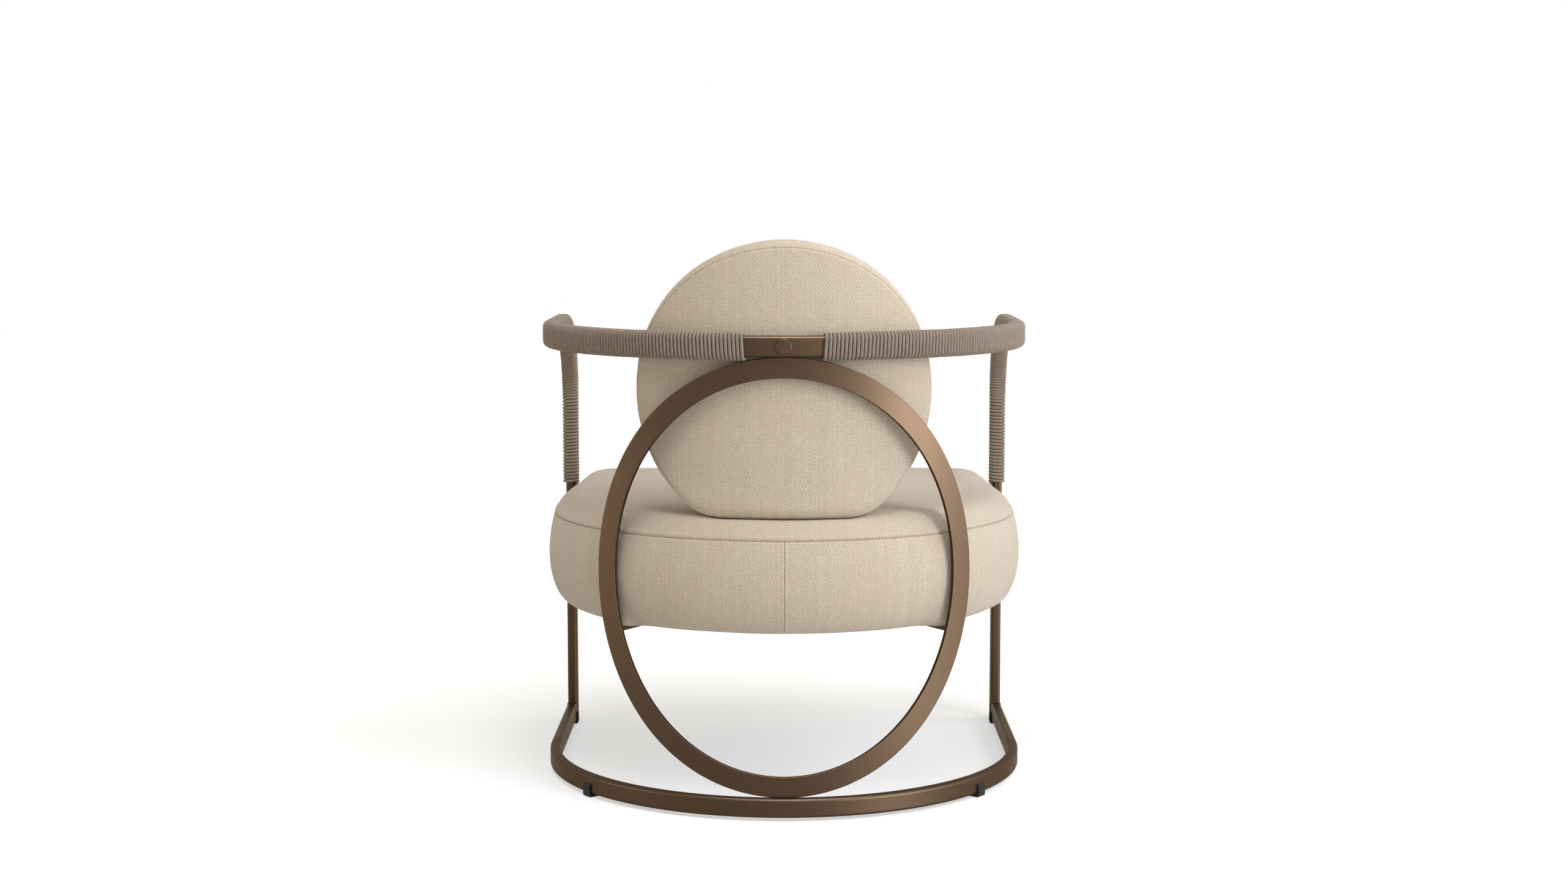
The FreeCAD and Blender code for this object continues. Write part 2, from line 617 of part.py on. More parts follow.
def makeSeat():
    skin, gap = size("coverThickness"), size("softGap")
    underside, overrun = size("seatUnderside"), size("overrun")
    boardLow = value(seatBoardLow)
    boardTop = boardLow + size("boardThickness")
    holes = Part.makeCompound(seatScrews(size("fit")))
    board = seatPrism(size("boardInset"), boardLow, boardTop)
    shapedPiece("seat_board", board.cut(holes))
    pocket = seatPrism(size("boardInset") - gap, underside - overrun, boardTop)
    shapedPiece("seat_foam", seatSolid(skin + gap).cut(pocket))
    mouth = seatPrism(size("seatUnderInset") + size("flangeReach"), underside - overrun,
                      boardLow + gap)
    cover = seatSolid(0).cut(seatSolid(skin)).cut(mouth).cut(holes)
    shapedPiece("seat_cover", cover)
    dust = seatPrism(size("dustInset"), value(supportTop), underside)
    shapedPiece("seat_dust_cover", dust.cut(holes))
    screws = []
    for place, shank in zip(screwPlaces(), seatScrews(0)):
        head = Part.makeCylinder(size("screwHeadRadius"), size("screwHeadHeight"),
                                 place - Vector(0, 0, size("screwHeadHeight")))
        screws.append(shank.fuse(head).removeSplitter())
    shapedPiece("seat_screws", Part.makeCompound(screws))


def backOutline(skin):
    """Back pad laid flat, before it is spread sideways: a circle with a flattened lower edge."""
    radius, flat = size("backRadius") - skin, value(backFlatDrop) - skin
    corner = size("backLowerCorner") - skin
    cornerAcross = math.sqrt((radius - corner) ** 2 - (flat - corner) ** 2)
    centre = Vector(0, 0, value(backHeight))
    cornerCentre = Vector(cornerAcross, 0, corner - flat)
    meet = cornerCentre * (radius / cornerCentre.Length)
    low = Vector(cornerAcross, 0, -flat)
    bisector = ((meet - cornerCentre).normalize() + Vector(0, 0, -1)).normalize()
    cornerMiddle = cornerCentre + bisector * corner
    top, wide = Vector(0, 0, radius), Vector(radius, 0, 0)
    upper = (top + wide).normalize() * radius
    lower = (wide + meet).normalize() * radius

    def place(point, side):
        return centre + Vector(point.x * side, 0, point.z)

    def sideEdges(side):
        return [Part.Arc(place(top, side), place(upper, side), place(wide, side)),
                Part.Arc(place(wide, side), place(lower, side), place(meet, side)),
                Part.Arc(place(meet, side), place(cornerMiddle, side), place(low, side))]

    left = [edge.toShape() for edge in sideEdges(1)]
    right = [edge.toShape() for edge in reversed(sideEdges(-1))]
    base = Part.LineSegment(place(low, 1), place(low, -1)).toShape()
    return Part.Wire(left + [base] + right)


def backSolid(skin):
    """The back pad's outer form: a crowned slab bent to the frame, cut to its outline.

    The slab is a profile turned about the rails' centre: its rear and front edges are arcs that
    bulge at mid height. The outline's sides point at the rails' centre line: a point at a
    distance run round the bend lies at depth * tan(run / bend) across. The rims are rounded.
    """
    rear = value(backRear) - skin
    front = value(backRear) - size("backThickness") + skin
    reach = size("backRadius") - skin + size("overrun")
    middle = value(backHeight)

    def corner(radius, rise):
        return Vector(radius, 0, middle + rise)

    rearRim = rear - size("backRearCrown")
    frontRim = front + size("backCrown")
    edges = [Part.Arc(corner(rearRim, -reach), corner(rear, 0), corner(rearRim, reach)),
             Part.LineSegment(corner(rearRim, reach), corner(frontRim, reach)),
             Part.Arc(corner(frontRim, reach), corner(front, 0), corner(frontRim, -reach)),
             Part.LineSegment(corner(frontRim, -reach), corner(rearRim, -reach))]
    profile = Part.Face(Part.Wire([edge.toShape() for edge in edges]))
    slab = profile.revolve(Vector(0, 0, 0), Vector(0, 0, 1), 180)
    turnPerRun = size("backHalfSpan") / size("backRadius") / value(backRear)
    outlineCount = 64
    flat = backOutline(skin).discretize(Number=outlineCount + 1)[:-1]

    def bentOutline(depth):
        curve = Part.BSplineCurve()
        places = [Vector(depth * math.tan(point.x * turnPerRun), depth, point.z) for point in flat]
        curve.interpolate(Points=places, PeriodicFlag=True)
        return Part.Wire([curve.toShape()])

    depths = (front / 2, rear + size("overrun"))
    disc = Part.makeLoft([bentOutline(depth) for depth in depths], True, True)
    solid = disc.common(slab)
    for name, sign in (("backRearRound", 1), ("backFrontRound", -1)):
        rims = [edge for edge in solid.Edges if rimOf(edge, sign, (rear + front) / 2)]
        solid = solid.makeFillet(size(name) - skin, rims)
    return solid


def rimOf(edge, sign, middle):
    """Whether an edge runs round the pad's rear rim (sign 1) or front rim (sign -1)."""
    reach = [math.hypot(point.x, point.y) for point in edge.discretize(5)]
    return all((radius - middle) * sign > 0 for radius in reach)


def hollowed(outer, cavity):
    """Solid between an outer form and a cavity that lies wholly inside it."""
    return Part.makeSolid(Part.makeCompound([outer.Shells[0], cavity.Shells[0].reversed()]))


def makeBack():
    skin, gap = size("coverThickness"), size("softGap")
    rear, tip = value(backRear), value(boltTip)
    overrun = size("overrun")
    boardRear, boardFront = value(backBoardRear), value(backBoardFront)
    centre = Vector(0, 0, value(backHeight))

    def board(grow):
        """Bent disc of plywood, larger by grow all round."""
        half = value(backBoardRadius) + grow
        base = Vector(0, 0, value(backHeight) - half)
        shell = Part.makeCylinder(boardRear + grow, 2 * half, base).cut(
            Part.makeCylinder(boardFront - grow, 2 * half, base))
        return shell.common(Part.makeCylinder(half, boardRear + overrun, centre, Vector(0, 1, 0)))

    barrel = size("teeBarrelRadius") + size("fit")
    shapedPiece("back_board", board(0).cut(boltBore(barrel, boardFront - overrun, rear + overrun)))
    tipRoom = boltBore(size("teeFlangeRadius") + gap, tip - overrun, boardRear)
    shank = boltBore(value(boltHole), boardFront, rear + overrun)
    boardRoom = board(gap).fuse(tipRoom)
    shapedPiece("back_foam", hollowed(backSolid(skin + gap), boardRoom).cut(shank))
    shapedPiece("back_cover", hollowed(backSolid(0), backSolid(skin)).cut(shank))


def cordPath():
    """Corners of the cord's way round the arm rail, mapped on to the rail's curve.

    A distance along the rail turns into an angle about the rails' centre. The cord starts and
    ends at mid height on the rail's inner side; the last corner turns it along the rail.
    """
    middle = value(cordMiddle)
    outset = size("fit") + size("cordDiameter") / 2
    half, rise = size("tubeWidth") / 2 + outset, size("armDepth") / 2 + outset
    first, pitch = value(cordFirst), size("cordPitch")
    corners = [(-half, -rise), (half, -rise), (half, rise), (-half, rise)]

    def place(run, out, up):
        angle = run / middle
        reach = middle + out
        return Vector(reach * math.sin(angle), reach * math.cos(angle), value(armMiddle) + up)

    points = [place(first, -half, 0)]
    for step in range(4 * cordTurnCount):
        points.append(place(first + pitch * (step + 0.5) / 4, *corners[step % 4]))
    points.append(place(value(cordLast), -half, 0))
    points.append(place(value(sleeveStart), -half, 0))
    return points


def roundedPath(points, radius):
    """Straight runs between the points, joined by tangent arcs."""
    edges = []
    start = points[0]
    for before, corner, after in zip(points, points[1:], points[2:]):
        back, ahead = (before - corner).normalize(), (after - corner).normalize()
        half = back.getAngle(ahead) / 2
        trim = radius / math.tan(half)
        bisector = (back + ahead).normalize()
        middle = corner + bisector * (radius / math.sin(half) - radius)
        leave, meet = corner + back * trim, corner + ahead * trim
        edges.append(Part.LineSegment(start, leave).toShape())
        edges.append(Part.Arc(leave, middle, meet).toShape())
        start = meet
    edges.append(Part.LineSegment(start, points[-1]).toShape())
    return Part.Wire(edges)


def leastGap(path, diameter, turnLength):
    """Least distance between the surfaces of neighbouring turns, measured on points."""
    count = int(path.Length / (diameter / 4))
    points = path.discretize(Number=count)
    step = path.Length / (count - 1)
    near, far = int(turnLength / 2 / step), int(turnLength * 1.5 / step)
    least = min(points[index].distanceToPoint(other)
                for index in range(count) for other in points[index + near:index + far])
    return least - diameter


def makeCordTurns():
    diameter = size("cordDiameter")
    points = cordPath()
    path = roundedPath(points, value(cordCorner))
    section = Part.Circle(points[0], points[1] - points[0], diameter / 2).toShape()
    pipe = Part.BRepOffsetAPI.MakePipeShell(path)
    pipe.add(Part.Wire([section]))
    pipe.build()
    pipe.makeSolid()
    turns = pipe.shape()
    expected = math.pi * diameter ** 2 / 4 * path.Length
    print("cord turns: length", round(path.Length, 1), "volume share of section times length",
          round(turns.Volume / expected, 5))
    print("least gap between turns", round(leastGap(path, diameter, path.Length / cordTurnCount), 3))
    shapedPiece("cord_turns_left", turns)
    shapedPiece("cord_turns_right", turns.mirror(Vector(0, 0, 0), Vector(1, 0, 0)))


def makeCordSleeve(name, side):
    """The rest of the winding as one hollow jacket: round the arc, along the arm, down the post."""
    body = newBody(name)

    def drawArm(sketch):
        sleeveSection(sketch, *railSpan(side), armLow, armTop)

    arc = newSketch(body, "XZ_Plane", "arc")
    drawArm(arc)
    revolve(body, arc, "V_Axis", f"90 - {sleeveStart} / {cordMiddle} * 180 / pi", Reversed=side < 0)
    arm = newSketch(body, "XZ_Plane", "arm")
    drawArm(arm)
    pad(body, arm, "Sizes.armStraight")
    addBend(body, "bend", drawArm)
    post = newSketch(body, "XY_Plane", "post", cordEnd)
    sleeveSection(post, *railSpan(side), f"-{postFront}", f"-{postRear}")
    pad(body, post, "Sizes.cordDrop")


makeArmRail()
makeBaseRail()
makeHoop()
makeCrossbar()
for ending, side in (("left", 1), ("right", -1)):
    makePost(f"post_{ending}", side)
    makeBracket(f"hoop_bracket_{ending}", side)
    makeGlide(f"glide_rear_{ending}", side, rear=True)
    makeGlide(f"glide_front_{ending}", side, rear=False)
    makeCordSleeve(f"cord_sleeve_{ending}", side)
makeCordTurns()
makeSeat()
makeBack()
makeBackFixings()
doc.recompute()

for item in doc.Objects:
    if "Invalid" in item.State or "Error" in item.State:
        raise RuntimeError(f"{item.Name} is {item.State}")
for name, piece in subParts.items():
    if piece.Shape.isNull() or not piece.Shape.isValid():
        raise RuntimeError(f"{name} has no valid shape")

os.makedirs("parts", exist_ok=True)
for name, piece in subParts.items():
    piece.Shape.exportStep(f"parts/{name}.step")
    box = piece.Shape.optimalBoundingBox(False)
    print(name, len(piece.Shape.Solids), "solid, volume", round(piece.Shape.Volume),
          "from", [round(v, 1) for v in (box.XMin, box.YMin, box.ZMin)],
          "to", [round(v, 1) for v in (box.XMax, box.YMax, box.ZMax)])
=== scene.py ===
import math

import bpy
import numpy as np
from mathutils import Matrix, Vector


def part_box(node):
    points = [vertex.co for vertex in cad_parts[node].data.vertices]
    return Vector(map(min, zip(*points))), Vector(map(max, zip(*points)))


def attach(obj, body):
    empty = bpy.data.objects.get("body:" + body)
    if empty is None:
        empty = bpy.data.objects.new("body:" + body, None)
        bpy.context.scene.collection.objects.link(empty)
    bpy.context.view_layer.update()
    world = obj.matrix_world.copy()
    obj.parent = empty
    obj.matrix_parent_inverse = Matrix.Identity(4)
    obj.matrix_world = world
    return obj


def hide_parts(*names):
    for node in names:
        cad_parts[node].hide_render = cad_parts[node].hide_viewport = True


# Horseshoe back armchair seen from behind: a bent bronze frame with cord wound round its arms,
# an upright oval hoop, a round back pad and a deep seat pad, on a white studio floor.
# Metres, in the frame's own axes: +X the sitter's left, +Y the back of the chair, +Z up.
# Lengths in the dictionaries are millimetres where a name ends in Mm.

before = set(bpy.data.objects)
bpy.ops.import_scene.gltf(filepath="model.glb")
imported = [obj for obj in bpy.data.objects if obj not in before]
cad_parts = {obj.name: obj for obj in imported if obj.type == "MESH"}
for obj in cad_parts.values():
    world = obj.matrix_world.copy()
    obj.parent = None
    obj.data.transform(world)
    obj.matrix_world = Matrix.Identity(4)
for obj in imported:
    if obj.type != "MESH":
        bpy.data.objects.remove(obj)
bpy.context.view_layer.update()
mm = 0.001
print("frame loaded:", len(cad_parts), "nodes")

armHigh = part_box("arm_rail")[1]
baseLow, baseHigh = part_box("base_rail")
hoopLow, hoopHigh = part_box("hoop_ring")
postLow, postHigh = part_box("post_left")
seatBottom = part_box("seat_cover")[0].z
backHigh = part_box("back_cover")[1]

railRadius = armHigh.x
arcY = armHigh.y - railRadius                # the rails' arcs stand round this line
tubeWidth = postHigh.x - postLow.x
tubeDepth = postHigh.y - postLow.y
railMiddle = railRadius - tubeWidth / 2      # radius of the rails' centre lines
arcLength = railMiddle * math.pi / 2         # a quarter turn along them
armMiddle = armHigh.z - tubeDepth / 2
bendRadius = armMiddle - postHigh.z          # centre line of the bend from arm to post
bendLength = bendRadius * math.pi / 2
armStraight = arcY - (postLow.y + postHigh.y) / 2 - bendRadius
baseDepth = baseHigh.z - baseLow.z
baseMiddle = baseLow.z + baseDepth / 2
backRear = backHigh.y - arcY                 # from the arcs' line to the back pad's rear face
tube = {"cornerMm": 4.0, "cornerSteps": 7, "apronMm": 0.5}


# Mesh building


def makePiece(name, points, faces, uvs, material, body="root"):
    # faces and uvs are lists of arrays, one for each number of sides a face has. The faces are
    # turned round where the volume that they enclose comes out negative.
    volume = 0.0
    for group in faces:
        for k in range(1, group.shape[1] - 1):
            a, b, c = points[group[:, 0]], points[group[:, k]], points[group[:, k + 1]]
            volume += np.einsum("ij,ij->", a, np.cross(b, c))
    if volume < 0:
        faces = [group[:, ::-1] for group in faces]
        uvs = [group[:, ::-1] for group in uvs]
    sides = np.concatenate([np.full(len(group), group.shape[1]) for group in faces])
    corners = np.concatenate([group.ravel() for group in faces])
    mesh = bpy.data.meshes.new(name)
    mesh.vertices.add(len(points))
    mesh.vertices.foreach_set("co", points.astype(np.float32).ravel())
    mesh.loops.add(len(corners))
    mesh.loops.foreach_set("vertex_index", corners.astype(np.int32))
    mesh.polygons.add(len(sides))
    mesh.polygons.foreach_set("loop_start", (np.cumsum(sides) - sides).astype(np.int32))
    mesh.polygons.foreach_set("use_smooth", np.ones(len(sides), bool))
    mesh.update(calc_edges=True)
    layer = mesh.uv_layers.new(name="UVMap")
    flat = np.concatenate([group.reshape(-1, 2) for group in uvs])
    layer.data.foreach_set("uv", flat.astype(np.float32).ravel())
    mesh.materials.append(material)
    piece = bpy.data.objects.new(name, mesh)
    bpy.context.scene.collection.objects.link(piece)
    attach(piece, body)
    return piece


def gridFaces(rows, columns, first=0):
    # quads between neighbouring rows of a grid whose rows are closed loops
    i, j = np.meshgrid(np.arange(rows - 1), np.arange(columns), indexing="ij")
    k = (j + 1) % columns
    here, above = i * columns, (i + 1) * columns
    quads = np.stack([here + j, here + k, above + k, above + j], -1)
    return quads.reshape(-1, 4) + first


def gridUvs(u, v):
    # texture places of those quads: u and v have one more column than the loops have points
    near, far = slice(None, -1), slice(1, None)
    corners = [(near, near), (near, far), (far, far), (far, near)]
    return np.stack([np.stack([u[c], v[c]], -1) for c in corners], 2).reshape(-1, 4, 2)


def closedLoop(values):
    # the same rows with their first column once more at the end
    return np.concatenate([values, values[:, :1]], 1)


def runLengths(points):
    # distance from the first point to each, along an open line of points
    steps = np.linalg.norm(np.diff(points, axis=0), axis=1)
    return np.concatenate([[0.0], np.cumsum(steps)])


def tubePiece(name, rows, material, around):
    # A closed tube: rows[i, j] is point j of loop i, and both ends are flat faces. On the UV map
    # u runs to around on the way round, and v is the distance along the loops' middles.
    count, columns = rows.shape[:2]
    u = np.broadcast_to(np.linspace(0, around, columns + 1), (count, columns + 1))
    v = np.broadcast_to(runLengths(rows.mean(1))[:, None], (count, columns + 1))
    ends = np.stack([np.arange(columns)[::-1], np.arange(columns) + (count - 1) * columns])
    endUvs = np.stack([np.stack([u[0, :-1], v[k, :-1]], -1) for k in (0, -1)])
    faces = [gridFaces(count, columns), ends]
    return makePiece(name, rows.reshape(-1, 3), faces, [gridUvs(u, v), endUvs], material)


def ringPiece(name, rows, material, around, length):
    # A tube that closes on itself: the last loop meets the first. v runs to length.
    count, columns = rows.shape[:2]
    u = np.broadcast_to(np.linspace(0, around, columns + 1), (count + 1, columns + 1))
    v = np.broadcast_to(np.linspace(0, length, count + 1)[:, None], (count + 1, columns + 1))
    faces = gridFaces(count + 1, columns) % (count * columns)
    return makePiece(name, rows.reshape(-1, 3), [faces], [gridUvs(u, v)], material)


def roundedLoop(halfWide, halfTall, corner, steps):
    # quarter circles round the four corners of a rectangle: places and outward directions
    turn = np.radians(90 * np.arange(4)[:, None] + np.linspace(0, 90, steps + 1)).ravel()
    centre = np.repeat([[1, 1], [-1, 1], [-1, -1], [1, -1]], steps + 1, 0)
    outward = np.stack([np.cos(turn), np.sin(turn)], 1)
    return centre * [halfWide - corner, halfTall - corner] + corner * outward, outward


def railLoop(halfWide, halfTall, corner, steps):
    # that rounded rectangle with one more point a little before and after each corner, which
    # keeps the shading of the flats even
    loop = roundedLoop(halfWide, halfTall, corner, steps)
    points, outward = (part.reshape(4, steps + 1, 2) for part in loop)
    tangent = tube["apronMm"] * mm * np.stack([-outward[..., 1], outward[..., 0]], -1)
    sides = [points[:, :1] - tangent[:, :1], points, points[:, -1:] + tangent[:, -1:]]
    return np.concatenate(sides, 1).reshape(-1, 2)


def smoothNoise(coordinates, waves, seed):
    # a sum of sine waves with seeded directions and phases, about -1 to 1
    draw = np.random.default_rng(seed)
    total = np.zeros(coordinates.shape[:-1])
    for wave in waves:
        direction = draw.normal(size=coordinates.shape[-1])
        direction *= 2 * np.pi / wave / np.linalg.norm(direction)
        total = total + np.sin(coordinates @ direction + draw.uniform(0, 2 * np.pi))
    return total / len(waves)


def bell(distance, width):
    # 1 at no distance, falling off as exp(-(distance / width) ** 2)
    return np.exp(-(distance / width) ** 2)


# Materials


def newMaterial(name):
    material = bpy.data.materials.new(name)
    material.use_nodes = True
    tree = material.node_tree
    return material, tree, tree.nodes["Principled BSDF"]


def addNode(tree, kind, inputs=None, **settings):
    node = tree.nodes.new(kind)
    for key, setting in settings.items():
        setattr(node, key, setting)
    for key, source in (inputs or {}).items():
        if isinstance(source, bpy.types.NodeSocket):
            tree.links.new(source, node.inputs[key])
        else:
            node.inputs[key].default_value = source
    return node


def calc(tree, operation, first, second=0.0, third=0.0):
    inputs = {0: first, 1: second, 2: third}
    return addNode(tree, "ShaderNodeMath", inputs, operation=operation).outputs[0]


def noise(tree, vector, scale, detail=2.0, roughness=0.5):
    inputs = {"Vector": vector, "Scale": scale, "Detail": detail, "Roughness": roughness}
    return addNode(tree, "ShaderNodeTexNoise", inputs).outputs["Fac"]


def ramp(tree, value, *stops):
    node = addNode(tree, "ShaderNodeValToRGB", {"Fac": value})
    elements = node.color_ramp.elements
    while len(elements) < len(stops):
        elements.new(0.5)
    for element, (place, colour) in zip(elements, stops):
        element.position = place
        element.color = (*colour, 1)
    return node.outputs["Color"]


def mixColour(tree, factor, first, second):
    node = addNode(tree, "ShaderNodeMix", data_type="RGBA")
    for index, source in ((0, factor), (6, first), (7, second)):
        if isinstance(source, bpy.types.NodeSocket):
            tree.links.new(source, node.inputs[index])
        else:
            node.inputs[index].default_value = (*source, 1)
    return node.outputs[2]


def addBump(tree, shader, height, distance, strength=1.0):
    inputs = {"Height": height, "Distance": distance, "Strength": strength}
    node = addNode(tree, "ShaderNodeBump", inputs)
    tree.links.new(node.outputs[0], shader.inputs["Normal"])


def setShader(shader, settings):
    # constants on the shader's own sockets
    for socket, setting in settings.items():
        shader.inputs[socket].default_value = setting


weave = {
    "warpPitchMm": 2.5, "weftPitchMm": 2.6,
    # dark is mostly painted shade for the weave's low places and light mostly painted highlight for
    # its high ones; random cell, yarn and fibre tones also move the colour between them
    "light": (0.825, 0.708, 0.550), "dark": (0.16, 0.100, 0.050), "warm": (0.65, 0.50, 0.376),
    "wobbleMm": 1.4, "wobbleScale": 130.0,
    # height: the parted yarns and the chequer board of crossings
    "partedShare": 0.45, "partedPower": 0.8, "crossingShare": 0.55, "crossingPower": 0.33,
    # tone: what each part adds to it; the height's share paints shade into the low crossings and
    # yarn gaps and paints highlight on the high ones
    "paintedShadeTone": 0.98, "cellTone": 0.12, "yarnTone": 0.06, "fibreTone": 0.35,
    "fibreScale": 1600.0, "fibreRelief": 0.18,
    # warmer patches
    "patchScale": 14.0, "patchFrom": 0.42, "patchGain": 0.9, "patchMost": 0.3,
    "heightMm": 0.8, "bump": 0.75,
    "roughness": 0.92, "sheen": 0.35, "sheenRoughness": 0.5, "specular": 0.25,
}


def makeWeave():
    # Plain weave on the piece's own UV map, in metres: a sine across times a sine along gives the
    # chequer board of high and low crossings, and a cosine arch over each cell parts its yarns. The
    # height also darkens the colour in the low places as painted shade and lightens it on the high
    # ones as painted highlight.
    material, tree, shader = newMaterial("wovenCover")
    uv = addNode(tree, "ShaderNodeUVMap", uv_map="UVMap").outputs[0]
    wobbleInputs = {"Vector": uv, "Scale": weave["wobbleScale"], "Detail": 3.0}
    wobble = addNode(tree, "ShaderNodeTexNoise", wobbleInputs).outputs["Color"]
    centred = addNode(tree, "ShaderNodeVectorMath", {0: wobble, 1: (0.5, 0.5, 0.5)},
                      operation="SUBTRACT").outputs[0]
    drift = addNode(tree, "ShaderNodeVectorMath", {0: centred, "Scale": weave["wobbleMm"] * mm},
                    operation="SCALE").outputs[0]
    moved = addNode(tree, "ShaderNodeVectorMath", {0: uv, 1: drift}, operation="ADD").outputs[0]
    split = addNode(tree, "ShaderNodeSeparateXYZ", {0: moved})
    across = calc(tree, "DIVIDE", split.outputs[0], weave["warpPitchMm"] * mm)
    along = calc(tree, "DIVIDE", split.outputs[1], weave["weftPitchMm"] * mm)
    warpCell, weftCell = calc(tree, "FLOOR", across), calc(tree, "FLOOR", along)

    def arch(value, cell):
        # cosine arch over one cell, 1 in the middle and 0 at the edges
        inside = calc(tree, "SUBTRACT", calc(tree, "SUBTRACT", value, cell), 0.5)
        return calc(tree, "COSINE", calc(tree, "MULTIPLY", inside, math.pi))

    parted = calc(tree, "MULTIPLY", arch(across, warpCell), arch(along, weftCell))
    parted = calc(tree, "POWER", parted, weave["partedPower"])
    waves = [calc(tree, "MULTIPLY", value, math.pi) for value in (across, along)]
    waves = [calc(tree, "SINE", value) for value in waves]
    crossing = calc(tree, "MULTIPLY_ADD", calc(tree, "MULTIPLY", *waves), 0.5, 0.5)
    crossing = calc(tree, "POWER", crossing, weave["crossingPower"])
    crossing = calc(tree, "MULTIPLY", crossing, weave["crossingShare"])
    height = calc(tree, "MULTIPLY_ADD", parted, weave["partedShare"], crossing)
    cell = addNode(tree, "ShaderNodeCombineXYZ", {0: warpCell, 1: weftCell}).outputs[0]
    cellTone = addNode(tree, "ShaderNodeTexWhiteNoise", {"Vector": cell},
                       noise_dimensions="2D").outputs["Value"]
    yarnTone = addNode(tree, "ShaderNodeTexWhiteNoise", {"W": warpCell},
                       noise_dimensions="1D").outputs["Value"]
    fibres = noise(tree, moved, weave["fibreScale"], 3.0, 0.6)
    patches = noise(tree, uv, weave["patchScale"], 3.0)
    # painted shade and highlight: the height sets most of the tone, dark in the weave's low places
    # and light on its high ones
    tone = calc(tree, "MULTIPLY", height, weave["paintedShadeTone"])
    tone = calc(tree, "MULTIPLY_ADD", cellTone, weave["cellTone"], tone)
    tone = calc(tree, "MULTIPLY_ADD", yarnTone, weave["yarnTone"], tone)
    tone = calc(tree, "MULTIPLY_ADD", calc(tree, "SUBTRACT", fibres, 0.5), weave["fibreTone"], tone)
    colour = mixColour(tree, tone, weave["dark"], weave["light"])
    warmth = calc(tree, "SUBTRACT", patches, weave["patchFrom"])
    warmth = calc(tree, "MULTIPLY", warmth, weave["patchGain"])
    limits = {"Value": warmth, "Max": weave["patchMost"]}
    warmth = addNode(tree, "ShaderNodeClamp", limits).outputs[0]
    colour = mixColour(tree, warmth, colour, weave["warm"])
    tree.links.new(colour, shader.inputs["Base Color"])
    relief = calc(tree, "MULTIPLY_ADD", fibres, weave["fibreRelief"], height)
    addBump(tree, shader, relief, weave["heightMm"] * mm, weave["bump"])
    setShader(shader, {"Roughness": weave["roughness"], "Sheen Weight": weave["sheen"],
                       "Sheen Roughness": weave["sheenRoughness"],
                       "Specular IOR Level": weave["specular"]})
    return material


thread = {"light": (0.66, 0.57, 0.46), "dark": (0.40, 0.32, 0.24), "twistScale": 260.0,
          "reliefMm": 0.12, "roughness": 0.8}


def makeThread():
    # Twisted thread: slanting bands on the UV map
    material, tree, shader = newMaterial("seamThread")
    uv = addNode(tree, "ShaderNodeUVMap", uv_map="UVMap").outputs[0]
    bands = {"Vector": uv, "Scale": thread["twistScale"], "Distortion": 1.0}
    twist = addNode(tree, "ShaderNodeTexWave", bands, bands_direction="DIAGONAL").outputs["Fac"]
    colour = mixColour(tree, twist, thread["dark"], thread["light"])
    tree.links.new(colour, shader.inputs["Base Color"])
    addBump(tree, shader, twist, thread["reliefMm"] * mm)
    setShader(shader, {"Roughness": thread["roughness"]})
    return material


cordFinish = {
    "light": (0.42, 0.34, 0.255), "middle": (0.27, 0.207, 0.148), "dark": (0.12, 0.087, 0.060),
    "stops": (0.26, 0.52, 0.80), "ribs": 5, "braidMm": 2.4, "girthMm": 14.5,
    "heatherScale": 900.0, "patchScale": 130.0, "braidTone": 0.12, "patchTone": 0.3,
    "braidRelief": 0.4, "heatherRelief": 0.8, "reliefMm": 0.28, "bump": 0.8,
    "roughness": 0.88, "sheen": 0.2, "specular": 0.25,
}


def makeCordFinish():
    # Braided sleeve on the cord's UV map: two sets of slanting ribs, heathered by noise
    material, tree, shader = newMaterial("woundCord")
    uv = addNode(tree, "ShaderNodeUVMap", uv_map="UVMap").outputs[0]
    turnShare, length = addNode(tree, "ShaderNodeSeparateXYZ", {0: uv}).outputs[:2]
    around = calc(tree, "MULTIPLY", turnShare, 2 * math.pi * cordFinish["ribs"])
    along = calc(tree, "MULTIPLY", length, 2 * math.pi / (cordFinish["braidMm"] * mm))
    left = calc(tree, "SINE", calc(tree, "ADD", along, around))
    right = calc(tree, "SINE", calc(tree, "SUBTRACT", along, around))
    braid = calc(tree, "MAXIMUM", left, right)
    girth = calc(tree, "MULTIPLY", turnShare, cordFinish["girthMm"] * mm)
    stretch = addNode(tree, "ShaderNodeCombineXYZ", {0: girth, 1: length}).outputs[0]
    heather = noise(tree, stretch, cordFinish["heatherScale"], 3.0, 0.65)
    patches = noise(tree, stretch, cordFinish["patchScale"], 2.0)
    tone = calc(tree, "MULTIPLY_ADD", braid, cordFinish["braidTone"], heather)
    patches = calc(tree, "SUBTRACT", patches, 0.5)
    tone = calc(tree, "MULTIPLY_ADD", patches, cordFinish["patchTone"], tone)
    colours = (cordFinish["dark"], cordFinish["middle"], cordFinish["light"])
    colour = ramp(tree, tone, *zip(cordFinish["stops"], colours))
    tree.links.new(colour, shader.inputs["Base Color"])
    ribs = calc(tree, "MULTIPLY", braid, cordFinish["braidRelief"])
    relief = calc(tree, "MULTIPLY_ADD", heather, cordFinish["heatherRelief"], ribs)
    addBump(tree, shader, relief, cordFinish["reliefMm"] * mm, cordFinish["bump"])
    setShader(shader, {"Roughness": cordFinish["roughness"], "Sheen Weight": cordFinish["sheen"],
                       "Specular IOR Level": cordFinish["specular"]})
    return material


bronze = {
    "colour": (0.057, 0.0355, 0.0205), "warm": (0.065, 0.040, 0.0230),
    "edgeTint": (0.70, 0.62, 0.54), "smoothest": 0.40, "roughnessSpread": 0.06, "metallic": 0.96,
    "cloudScale": 9.0, "speckleScale": 1400.0, "peelScale": 320.0, "speckleRelief": 0.35,
    "peelMm": 0.05, "bump": 0.5,
}


